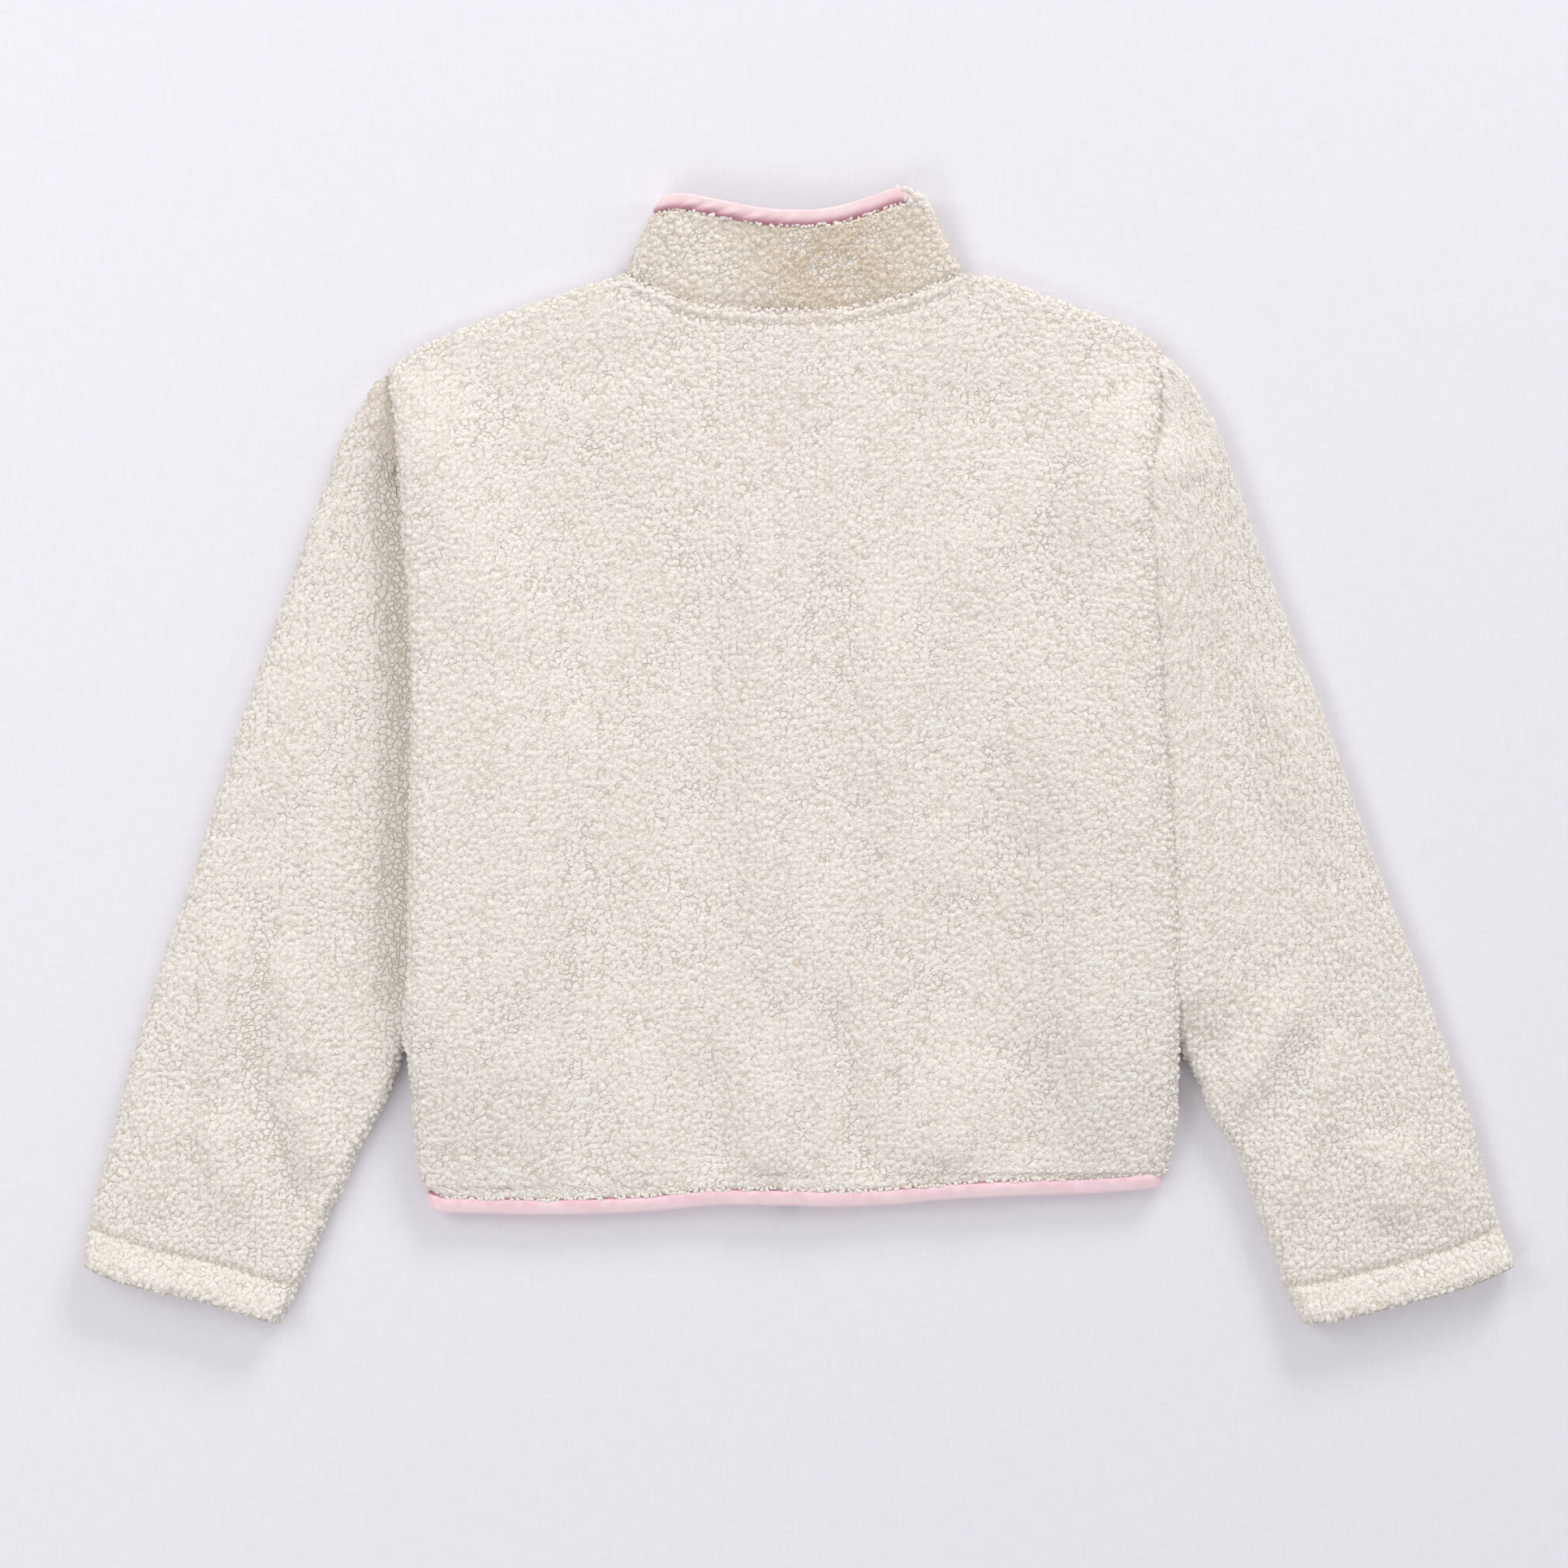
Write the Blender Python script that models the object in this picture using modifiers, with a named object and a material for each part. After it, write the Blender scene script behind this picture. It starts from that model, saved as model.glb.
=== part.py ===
"""Boxy curly-fleece jacket with a zipped front, laid flat on its front with the back showing.

The back lies on the two fronts, and the sleeves are swung down beside the body with their
inner edges tucked under its sides. +X is right across the back, +Y runs up to the collar,
+Z is up off the surface, and the origin is on the surface under the middle of the whole.
Sizes are in millimetres and turned into metres where a mesh is made.
"""

import math

import bmesh
import bpy
import numpy as np

MM = 0.001

# Cloth, trims and seams
FLEECE = 6.0
SEAM_GAP = 0.3
SEAM_EDGE = 1.2
EDGE_ROUND = 7.0
LAYER_GAP = 0.6
WIDEST_GAP = 3.8
ARMHOLE_GAP = 1.1

# Bindings: satin folded over an edge of cloth that is pressed thin inside it
BAND_WIDTH = 9.8
BOUND_DEPTH = 8.4
FULL_DEPTH = 10.8
BAND_WALL = 1.0
BOUND_HALF = 1.7
COLLAR_BOUND_HALF = 1.2
BAND_HALF = BOUND_HALF + SEAM_GAP + BAND_WALL
BAND_REACH = BAND_WALL + SEAM_GAP
CORNER_INSET = 10.0
MOST_STEP_UP = 6.0

# Zip, under the middle of the back
ZIP_X = -6.0
ZIP_OPENING = 6.0
ZIP_BOTTOM = -276.0
ZIP_TOP = 284.0
TAPE_INNER = 3.4
TAPE_OUTER = 16.0
TAPE_THICK = 1.0
CHAIN_WIDTH = 6.0
CHAIN_THICK = 2.6
CHAIN_Z = FLEECE + SEAM_GAP + TAPE_THICK / 2
SLIDER_Y = 274.0
SLIDER_LENGTH = 12.0
SLIDER_WIDTH = 10.0
PLATE_THICK = 0.8
PLATE_GAP = 3.4
BAIL_WIDTH = 1.6
BAIL_LENGTH = 8.0
BAIL_DROP = 3.1
BAIL_HOLE_LENGTH = 5.4
BAIL_HOLE_HEIGHT = 1.9
PIN_Z = 3.0
PULL_WIDTH = 7.0
PULL_LENGTH = 27.0
PULL_THICK = 1.3
PULL_WINDOW_WIDTH = 4.2
PULL_WINDOW_LENGTH = 4.2
PULL_TILT = math.radians(4.2)
RETAINER_LENGTH = 9.0
RETAINER_THICK = 3.6
POST_WIDTH = 3.2
POST_LENGTH = 2.6

# Cuff: the sleeve's own cloth turned in and stitched
CUFF_DEPTH = 25.0
CUFF_WALL = 9.2
CUFF_ROUND = 3.0
CUFF_GROOVE = 1.6

# Sleeve: length of its middle line, and the space between its two layers
SLEEVE_LENGTH = 450.0
SLEEVE_GAP = 1.2

# Neck: the seam allowance stitched down under the collar as a soft ridge
NECK_RIDGE = 9.5
NECK_GROOVE = 1.6
NECK_SEAM_REACH = 1.8
NECK_STITCH_REACH = 2.4
SEAM_CORNER = 298.0
SEAM_DIP = 0.8

# Side edge of the body: height up the jacket, place across
SIDE_LEFT = (
    (-282, -230), (-270, -232), (-262, -233.5), (-234, -237.5), (-189, -240),
    (-179, -242.5), (-134, -240), (-34, -238.5), (66, -237.5), (127, -241.5),
    (166, -245), (199, -247), (226, -251), (238, -252),
)
SIDE_RIGHT = (
    (-282, 225), (-266, 226), (-254, 227.5), (-224, 232.5), (-179, 232.5),
    (-109, 231), (-34, 227.5), (16, 223.5), (66, 220), (116, 217.5),
    (156, 216), (185, 218.2), (211, 220.4), (228, 221.8), (250, 223),
)

# Top edge of the back, shoulder to shoulder: place across, height up the jacket
NECK_LEFT = -108.0
NECK_RIGHT = 100.5
SHOULDER_LEFT = (
    (-252, 238), (-244, 245.5), (-233, 252.5), (-207, 264.5), (-172, 276.5),
    (-136, 288.5), (NECK_LEFT, SEAM_CORNER),
)
BACK_NECK = (
    (NECK_LEFT, SEAM_CORNER), (-101.5, 294), (-82.5, 286.5), (-58.5, 279), (-27, 275.5), (-3, 275),
    (29, 276.5), (53, 281.5), (77, 288), (91, 294),
    (NECK_RIGHT, SEAM_CORNER),
)
SHOULDER_RIGHT = (
    (NECK_RIGHT, SEAM_CORNER), (125, 294), (156, 282.5), (190, 270.5), (210, 261.5),
    (218, 255.5), (223, 250),
)
FRONT_NECK_DROP = 76.0

# Lower edge of the hem binding: place across, height up the jacket
HEM = (
    (-233, -274.5), (-229, -278.5), (-222, -281.3), (-210, -281.8), (-102.5, -281.5),
    (-42.5, -276.8), (-12.5, -277), (29, -278), (54, -277), (87, -273.8),
    (128.5, -271.5), (186.5, -269.5), (227.5, -266),
)

# Collar: place across at the neck seam, then at the top edge with that edge's height
COLLAR_TOP = (
    (NECK_LEFT, -85.5, 344.5), (-90, -73, 346.5), (-68, -54, 343.6), (-38, -29, 338.2),
    (-4, -3, 336), (32, 22, 338), (60, 45, 345), (80, 61, 350), (NECK_RIGHT, 77, 345),
)
COLLAR_FRONT_TOP = 286.0
COLLAR_SIDE_TOP = 344.5
COLLAR_SHIFT = 0.42

# Height of the body's underside at its side, over the tucked sleeve: height up, left, right
RISE = (
    (-282, 0, 0), (-262, 0, 0), (-250, 0, 0), (-228, 4.5, 4.5), (-200, 11, 11),
    (-180, 13.7, 13.7),
    (-120, 13.7, 13.7), (150, 13.7, 13.7), (168, 13.7, 13.4), (190, 13.7, 8.5),
    (206, 11.5, 3.5), (224, 6.5, 0.3), (240, 3.5, 0), (252, 3, 0),
)
RISE_FALL = 42.0
TUCK_ROOM = 8.0

# Width of sleeve tucked under the body: height up, left, right
TUCK = (
    (-282, 0, 0), (-195, 0, 0), (-178, 1, 1), (-150, 13, 12), (-110, 27, 26), (-60, 40, 40),
    (-5, 45, 45), (50, 38, 35), (100, 24, 17), (135, 12, 4), (152, 6.5, 0), (180, 0, 0),
    (255, 0, 0),
)
UNDERARM_Y = -5.0

# Outer edge of each sleeve from shoulder to cuff, and inner edge from cuff to body
OUTER_LEFT = (
    (-253.2, 236), (-258.5, 233.5), (-269.5, 216.5), (-283, 196), (-288.5, 176), (-297, 156),
    (-311, 116), (-325, 76), (-346, 16), (-371, -64), (-398, -144), (-411, -184),
    (-421, -224), (-432, -264), (-438, -290), (-441.5, -313.5),
)
INNER_LEFT = (
    (-320, -349.5), (-307, -324), (-299, -304), (-291, -284), (-280.5, -264),
    (-272.5, -244), (-260.5, -222), (-249.5, -199),
)
CUFF_LEFT = (
    (-441.5, -313.5), (-428, -320), (-412.5, -325.5), (-372.5, -334.5), (-345, -342.5),
    (-320, -349.5),
)
OUTER_RIGHT = (
    (224.2, 248.5), (228.5, 246), (239, 234.5), (250, 216.5), (260.5, 196), (267, 176),
    (281, 136), (296, 96), (326.5, 16), (354.5, -64), (385.5, -144), (399.5, -184),
    (414, -224), (424, -264), (432, -290), (441.5, -313),
)
INNER_RIGHT = (
    (311, -349.5), (299, -324), (292.5, -304), (284, -284), (277.5, -264),
    (270, -244), (256, -224), (245, -199),
)
CUFF_RIGHT = (
    (441.5, -313), (432.5, -317.5), (412.5, -326), (372.5, -337), (332.5, -346.5),
    (311, -349.5),
)

# Folds: line from (x1, y1) to (x2, y2), reach to each side, height
HEM_LEVEL = -252.0
BODY_FOLDS = (
    (-33, 160, -33, -84, 16, 1.9),
    (52, 85, 54, -25, 18, 1.7),
    (-154, -20, -156, -262, 18, 2.3),
    (-22, -140, -8, -270, 24, 2.9),
    (112, -185, 106, -262, 22, 2.6),
    (178, -150, 190, -250, 16, 1.6),
    (-90, -110, -96, -262, 15, 1.4),
    (101, 145, 100, 92, 26, 1.6),
    (-222, 215, -205, 60, 15, 1.7),
    (205, 225, 192, 120, 14, 1.3),
    (-200, -150, -212, -250, 13, 1.3),
)
SLEEVE_FOLDS = (
    (-352, -100, -366, -215, 13, 2.3),
    (-366, -215, -345, -285, 13, 2.1),
    (-318, -120, -305, -205, 12, 2.1),
    (-305, -205, -300, -262, 11, 2.5),
    (-300, 60, -330, -40, 18, 1.5),
    (-385, -215, -402, -285, 12, 1.5),
    (308, -140, 268, -222, 12, 2.6),
    (330, -175, 302, -280, 13, 2.0),
    (363, -235, 368, -290, 17, 2.3),
    (262, 168, 236, 150, 9, 1.7),
    (287, 60, 310, -50, 18, 1.6),
    (395, -230, 408, -290, 12, 1.4),
)

# Colours: red, green and blue, roughness
CREAM = (0.76, 0.70, 0.61)
PINK = (0.85, 0.53, 0.60)
TAPE_PINK = (0.80, 0.45, 0.53)
METAL = (0.78, 0.76, 0.72)
CLOTH_ROUGH = 0.95
SATIN_ROUGH = 0.4
METAL_ROUGH = 0.3


def smooth(share):
    """An S-shaped step from 0 to 1, flat at both ends."""
    share = np.clip(share, 0.0, 1.0)
    return share * share * (3 - 2 * share)


def rim(distance, reach):
    """A quarter of an oval: 0 at the edge, 1 from the reach inwards."""
    return np.sqrt(1 - (1 - np.clip(distance / reach, 0.0, 1.0)) ** 2)


def through(rows, at):
    """Values read off a short table as a smooth curve, its slope at a row taken from both sides."""
    rows = np.asarray(rows, float)
    knots, values = rows[:, 0], rows[:, 1:]
    slopes = np.gradient(values, knots, axis=0)
    at = np.clip(np.asarray(at, float), knots[0], knots[-1])
    low = np.clip(np.searchsorted(knots, at, side="right") - 1, 0, len(knots) - 2)
    span = (knots[low + 1] - knots[low])[..., None]
    t = (at - knots[low])[..., None] / span
    start = (2 * t**3 - 3 * t**2 + 1) * values[low] + (t**3 - 2 * t**2 + t) * span * slopes[low]
    end = (3 * t**2 - 2 * t**3) * values[low + 1] + (t**3 - t**2) * span * slopes[low + 1]
    result = start + end
    return result[..., 0] if values.shape[1] == 1 else result


def along(points, distance):
    """Points at the given distances along the smooth curve through these points."""
    points = np.asarray(points, float)
    run = np.concatenate([[0.0], np.cumsum(np.hypot(*np.diff(points, axis=0).T))])
    return through(np.column_stack([run, points]), distance)


def length_of(points):
    """Length of the line through these points."""
    return float(np.hypot(*np.diff(np.asarray(points, float), axis=0).T).sum())


def ridges(folds, x, y):
    """Height that the fold lines add at each point: a bell across each line, easing off at its ends."""
    height = np.zeros_like(x)
    for x1, y1, x2, y2, reach, rise in folds:
        run_x, run_y = x2 - x1, y2 - y1
        share = np.clip(((x - x1) * run_x + (y - y1) * run_y) / (run_x**2 + run_y**2), 0, 1)
        off = np.hypot(x - x1 - share * run_x, y - y1 - share * run_y)
        height += rise * np.exp(-((off / reach) ** 2))
    return height


def side_left(y):
    return through(SIDE_LEFT, y)


def side_right(y):
    return through(SIDE_RIGHT, y)


def lift(x, y):
    """Height of the body's underside: raised along both sides by the sleeve under them."""
    rise = np.maximum(through(RISE, y), 0.0)
    tuck = np.maximum(through(TUCK, y), 0.0)
    from_left = x - side_left(y) - tuck[..., 0] - TUCK_ROOM
    from_right = side_right(y) - x - tuck[..., 1] - TUCK_ROOM
    left = rise[..., 0] * (1 - smooth(from_left / RISE_FALL))
    right = rise[..., 1] * (1 - smooth(from_right / RISE_FALL))
    return np.maximum(left, right)


def layer_gap(x, y):
    """Space between the fronts and the back: over the zip, and where a fold of the back stands up."""
    zip_room = 2.1 + 1.1 * smooth((y - 190) / 50)
    zip_room = zip_room * (1 - smooth((np.abs(x - ZIP_X) - 20) / 26))
    folds = ridges(BODY_FOLDS, x, np.maximum(y, HEM_LEVEL))
    return np.clip(LAYER_GAP + np.maximum(zip_room, folds), LAYER_GAP, WIDEST_GAP)


def hem_edge(x):
    return through(HEM, x)


def cloth_bottom(x):
    """Lower edge of the fleece, inside the binding."""
    return hem_edge(x) + BAND_REACH + SEAM_GAP


def front_neck(x):
    """Neck seam of the fronts: two quarters of an oval, down from the shoulders to the zip."""
    half_left = ZIP_X - ZIP_OPENING - NECK_LEFT
    half_right = NECK_RIGHT - ZIP_X - ZIP_OPENING
    share = np.where(x < ZIP_X, (x - NECK_LEFT) / half_left, (NECK_RIGHT - x) / half_right)
    return SEAM_CORNER - FRONT_NECK_DROP * rim(share, 1.0)


def shoulder(x):
    return np.where(x < 0, through(SHOULDER_LEFT, x), through(SHOULDER_RIGHT, x))


def on_neck(x):
    return (x > NECK_LEFT) & (x < NECK_RIGHT)


def back_top(x):
    return np.where(on_neck(x), through(BACK_NECK, x), shoulder(x))


def front_top(x):
    return np.where(on_neck(x), front_neck(x), shoulder(x))


# Columns of a panel: steps in from a side seam, the same on the back and the fronts, and
# places across the neck, the same on a panel and on the collar
EDGE_STEPS = np.array([0.0, 1.5, 4.0, 8.0])
SIDE_STEPS = np.array([0.0, 1.5, 4.0, 8.0, 18.0, 32.0, 46.0, 60.0, 74.0, 88.0, 102.0])
TIP_LEFT = SHOULDER_LEFT[0][0]
TIP_RIGHT = SHOULDER_RIGHT[-1][0]
BACK_STATIONS = np.linspace(NECK_LEFT, NECK_RIGHT, 15)
FRONT_SHARES = np.array([0.0, 0.035, 0.1, 0.2, 0.36, 0.56, 0.78, 1.0])
SHOULDER_MIDDLE = -129.0
# Rows of a panel: share of its height and offset from there
PANEL_ROWS = [(0, 0), (0, BOUND_DEPTH), (0, FULL_DEPTH), (0, 14), (0, 24)]
PANEL_ROWS += [(share, 0) for share in np.linspace(0.09, 0.925, 16)]
PANEL_ROWS += [(1, -26), (1, -14.5), (1, -NECK_RIDGE), (1, -4.5), (1, -1.5), (1, -0.15)]


def front_stations(neck):
    """Places across one front's neck seam, closer where the seam is steep."""
    opening = ZIP_X - ZIP_OPENING if neck < ZIP_X else ZIP_X + ZIP_OPENING
    return neck + (opening - neck) * FRONT_SHARES


def out_of_hem(x, y):
    """0 inside the hem binding and 1 just above it."""
    above = y - cloth_bottom(x)
    return smooth((above - BOUND_DEPTH - 0.1) / (FULL_DEPTH - BOUND_DEPTH - 0.2))


def hem_inset(x, y):
    """The cloth narrows inside the hem binding, which turns the corner there."""
    return CORNER_INSET * (1 - out_of_hem(x, y))


def left_edge(y):
    return side_left(y) + hem_inset(side_left(y), y)


def right_edge(y):
    return side_right(y) - hem_inset(side_right(y), y)


def columns_between(stations, low, high, low_steps, high_steps):
    """Columns of a panel as share across and steps in from its two edges, from places on its top edge."""
    low_end, high_end = low + low_steps[-1], high - high_steps[-1]
    share = (stations - low_end) / (high_end - low_end)
    share = np.concatenate([np.zeros(len(low_steps)), share, np.ones(len(high_steps))])
    from_low = np.concatenate([low_steps, np.full(len(stations) + len(high_steps), low_steps[-1])])
    from_high = np.concatenate([np.full(len(low_steps) + len(stations), high_steps[-1]), high_steps[::-1]])
    return share, from_low, from_high


def plan(columns, left, right, top):
    """Grid of places on a panel, found by turns: across from height, and height from across."""
    share = np.array([row[0] for row in PANEL_ROWS])[:, None]
    offset = np.array([row[1] for row in PANEL_ROWS])[:, None]
    across, from_left, from_right = columns
    y = share * 280.0 + (1 - share) * -275.0 + offset + 0 * across[None, :]
    for _ in range(14):
        low = left(y) + from_left[None, :]
        high = right(y) - from_right[None, :]
        x = low + across[None, :] * (high - low)
        y = cloth_bottom(x) + share * (top(x) - cloth_bottom(x)) + offset
    return x, y


def thickness(x, y):
    """Half thickness of the fleece: full, and pressed thin inside the hem binding."""
    return BOUND_HALF + (FLEECE / 2 - BOUND_HALF) * out_of_hem(x, y)


def seam_distance(x, y, top):
    """Distance to the nearest side or shoulder seam, which leaves out the neck."""
    sides = np.minimum(x - left_edge(y), right_edge(y) - x)
    off_neck = np.maximum(NECK_LEFT - x, x - NECK_RIGHT)
    to_top = (top(x) - y) * 0.92 + EDGE_ROUND * (1 - smooth((off_neck + 2) / 10))
    return np.minimum(sides, to_top)


def mesh_object(name, points, faces, colour, rough, metal=0.0):
    """A closed mesh with its faces pointing out, in the jacket's collection."""
    mesh = bpy.data.meshes.new(name)
    mesh.from_pydata((np.asarray(points, float) * MM).tolist(), [], [list(face) for face in faces])
    shell = bmesh.new()
    shell.from_mesh(mesh)
    bmesh.ops.recalc_face_normals(shell, faces=shell.faces)
    shell.to_mesh(mesh)
    shell.free()
    piece = bpy.data.objects.new(name, mesh)
    JACKET.objects.link(piece)
    dress(piece, colour, rough, metal)
    mesh.shade_smooth()
    return piece


def dress(piece, colour, rough, metal):
    """The piece's own material."""
    material = bpy.data.materials.new(piece.name + "_finish")
    material.use_nodes = True
    shader = material.node_tree.nodes["Principled BSDF"]
    shader.inputs["Base Color"].default_value = (*colour, 1.0)
    shader.inputs["Roughness"].default_value = rough
    shader.inputs["Metallic"].default_value = metal
    piece.data.materials.clear()
    piece.data.materials.append(material)


def walled(name, outer, inner, colour, rough, ring=False):
    """One closed wall between two matching grids of points. A ring joins its last column to its first."""
    rows, columns = outer.shape[:2]
    points = np.concatenate([outer.reshape(-1, 3), inner.reshape(-1, 3)])
    index = np.arange(rows * columns).reshape(rows, columns)
    if ring:
        index = np.concatenate([index, index[:, :1]], axis=1)
    corners = (index[:-1, :-1], index[:-1, 1:], index[1:, 1:], index[1:, :-1])
    face = np.stack(corners, axis=-1).reshape(-1, 4)
    other = rows * columns
    faces = [face, face[:, ::-1] + other]
    borders = [index[0], index[-1][::-1]]
    if not ring:
        borders += [index[::-1, 0], index[:, -1]]
    for border in borders:
        start, end = border[:-1], border[1:]
        faces.append(np.stack([end, start, start + other, end + other], axis=-1))
    return mesh_object(name, points, np.concatenate(faces), colour, rough)


def raised(x, y, z):
    return np.stack([x, y, z], axis=-1)


def make_back():
    """Back panel, the top layer: returns the middle of its cloth along the hem, in two lines."""
    stations = np.concatenate([[SHOULDER_MIDDLE], BACK_STATIONS])
    columns = columns_between(stations, TIP_LEFT, TIP_RIGHT, SIDE_STEPS, SIDE_STEPS)
    x, y = plan(columns, left_edge, right_edge, back_top)
    gap = layer_gap(x, y)
    base = lift(x, y)
    seam = base + FLEECE + gap / 2
    middle = base + FLEECE + gap + FLEECE / 2
    half = thickness(x, y)
    edge = 1 - (1 - rim(seam_distance(x, y, back_top), EDGE_ROUND)) * out_of_hem(x, y)
    below_neck = back_top(x) - y
    neck = smooth((x - NECK_LEFT) / 6) * smooth((NECK_RIGHT - x) / 6)
    seam_groove = np.exp(-((below_neck / NECK_SEAM_REACH) ** 2))
    groove = seam_groove + np.exp(-(((below_neck - NECK_RIDGE) / NECK_STITCH_REACH) ** 2))
    upper = middle + half - NECK_GROOVE * groove * neck
    lower = middle - half
    thin = seam + SEAM_GAP / 2
    outer = thin + SEAM_EDGE + (upper - thin - SEAM_EDGE) * edge
    inner = thin + (lower - thin) * edge
    walled("back", raised(x, y, outer), raised(x, y, inner), CREAM, CLOTH_ROUGH)
    return raised(x[:2], y[:2], middle[:2])


def make_front(name, columns, left, right):
    """One front panel, the lower layer: returns the middle of its cloth along the hem, in two lines."""
    x, y = plan(columns, left, right, front_top)
    base = lift(x, y)
    gap = layer_gap(x, y)
    seam = base + FLEECE + gap / 2
    middle = base + FLEECE / 2
    half = thickness(x, y)
    edge = 1 - (1 - rim(seam_distance(x, y, front_top), EDGE_ROUND)) * out_of_hem(x, y)
    thin = seam - SEAM_GAP / 2
    upper = thin + (middle + half - thin) * edge
    lower = thin - SEAM_EDGE + (middle - half - thin + SEAM_EDGE) * edge
    walled(name, raised(x, y, lower), raised(x, y, upper), CREAM, CLOTH_ROUGH)
    return raised(x[:2], y[:2], middle[:2])


def opening_left(y):
    return ZIP_X - ZIP_OPENING + 0 * y


def opening_right(y):
    return ZIP_X + ZIP_OPENING + 0 * y


def make_fronts():
    """Both fronts, apart at the zip: returns the middle lines of their cloth along the hem."""
    edge = np.array([0.0])
    stations = np.concatenate([[SHOULDER_MIDDLE], front_stations(NECK_LEFT)[:-1]])
    columns = columns_between(stations, TIP_LEFT, ZIP_X - ZIP_OPENING, SIDE_STEPS, edge)
    left = make_front("front_left", columns, left_edge, opening_left)
    stations = front_stations(NECK_RIGHT)[-2::-1]
    columns = columns_between(stations, ZIP_X + ZIP_OPENING, TIP_RIGHT, edge, SIDE_STEPS)
    right = make_front("front_right", columns, opening_right, right_edge)
    return left, right


def make_sleeve(name, hand, outer_edge, inner_edge, cuff_edge):
    """A flattened sleeve tube from the armhole, tucked under the body, to the turned cuff."""
    side = side_left if hand < 0 else side_right
    column = 0 if hand < 0 else 1

    def hidden_edge(y):
        tuck = np.maximum(through(TUCK, y)[..., column], 0.0)
        return side(y) + hand * (ARMHOLE_GAP - tuck)

    tucked = np.array([-178.0, -150.0, -110.0, -60.0, UNDERARM_Y])
    inner_line = list(inner_edge) + list(zip(hidden_edge(tucked), tucked))
    outer_line = list(outer_edge)[::-1]
    steps = np.array([0, 2.5, 8, 16, 22.5, CUFF_DEPTH, 28, 36])
    steps = np.concatenate([steps, np.linspace(52, SLEEVE_LENGTH, 18)])
    grown = (steps / SLEEVE_LENGTH) ** 3
    outer_at = along(outer_line, steps + (length_of(outer_line) - SLEEVE_LENGTH) * grown)
    inner_at = along(inner_line, steps + (length_of(inner_line) - SLEEVE_LENGTH) * grown)
    width = np.hypot(*(outer_at - inner_at).T)[:, None]

    near = EDGE_STEPS[None, :] / width
    spread = near[:, -1:] + (1 - 2 * near[:, -1:]) * np.linspace(0, 1, 9)[None, 1:-1]
    top = np.concatenate([near, spread, 1 - near[:, ::-1]], axis=1)
    few = near[:, -1:] + (1 - 2 * near[:, -1:]) * np.linspace(0, 1, 5)[None, 1:-1]
    under = np.concatenate([1 - near[:, 2:], few[:, ::-1], near[:, :1:-1]], axis=1)
    t = np.concatenate([top, under], axis=1)
    is_top = np.arange(t.shape[1])[None, :] < top.shape[1]

    s = (steps / SLEEVE_LENGTH)[:, None, None]
    armhole_y = outer_edge[0][1] + t * (UNDERARM_Y - outer_edge[0][1])
    armhole = np.stack([hidden_edge(armhole_y), armhole_y], axis=-1)
    cuff = along(cuff_edge, t * length_of(cuff_edge))
    across = t[..., None]
    sides = (1 - across) * outer_at[:, None] + across * inner_at[:, None]
    ends = (1 - s) * cuff + s * armhole
    corner_outer = (1 - s) * np.array(cuff_edge[0]) + s * np.array(outer_edge[0])
    underarm = np.array([float(hidden_edge(UNDERARM_Y)), UNDERARM_Y])
    corner_inner = (1 - s) * np.array(cuff_edge[-1]) + s * underarm
    place = sides + ends - (1 - across) * corner_outer - across * corner_inner

    x, y = place[..., 0], place[..., 1]
    from_cuff = steps[:, None] + 0 * t
    turned = 1 - smooth((from_cuff - CUFF_DEPTH + 2.5) / 2.5)
    wall = FLEECE + (CUFF_WALL - FLEECE) * turned
    folds = ridges(SLEEVE_FOLDS, x, y) * (1 - turned)
    gap = np.minimum(SLEEVE_GAP + folds, WIDEST_GAP)
    groove = CUFF_GROOVE * np.exp(-(((from_cuff - CUFF_DEPTH) / 2.0) ** 2))
    height = 2 * wall + gap
    middle = height / 2
    distance = np.minimum(t, 1 - t) * width
    oval = rim(distance, EDGE_ROUND)
    turn = CUFF_ROUND * (from_cuff < 1)
    up = np.where(is_top, 1.0, -1.0)
    reach = middle - turn - groove * is_top
    outer_z = middle + up * reach * oval
    inner_z = middle + up * (gap / 2 + turn) * rim(distance, 3.0)
    outer_z = np.where(is_top | (distance < EDGE_ROUND), outer_z, turn)

    toward = (inner_at - outer_at) / width
    moved = wall * (1 - 2 * t)
    inner_x = x + moved * toward[:, :1]
    inner_y = y + moved * toward[:, 1:]
    walled(name, raised(x, y, outer_z), raised(inner_x, inner_y, inner_z), CREAM, CLOTH_ROUGH, ring=True)


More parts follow.
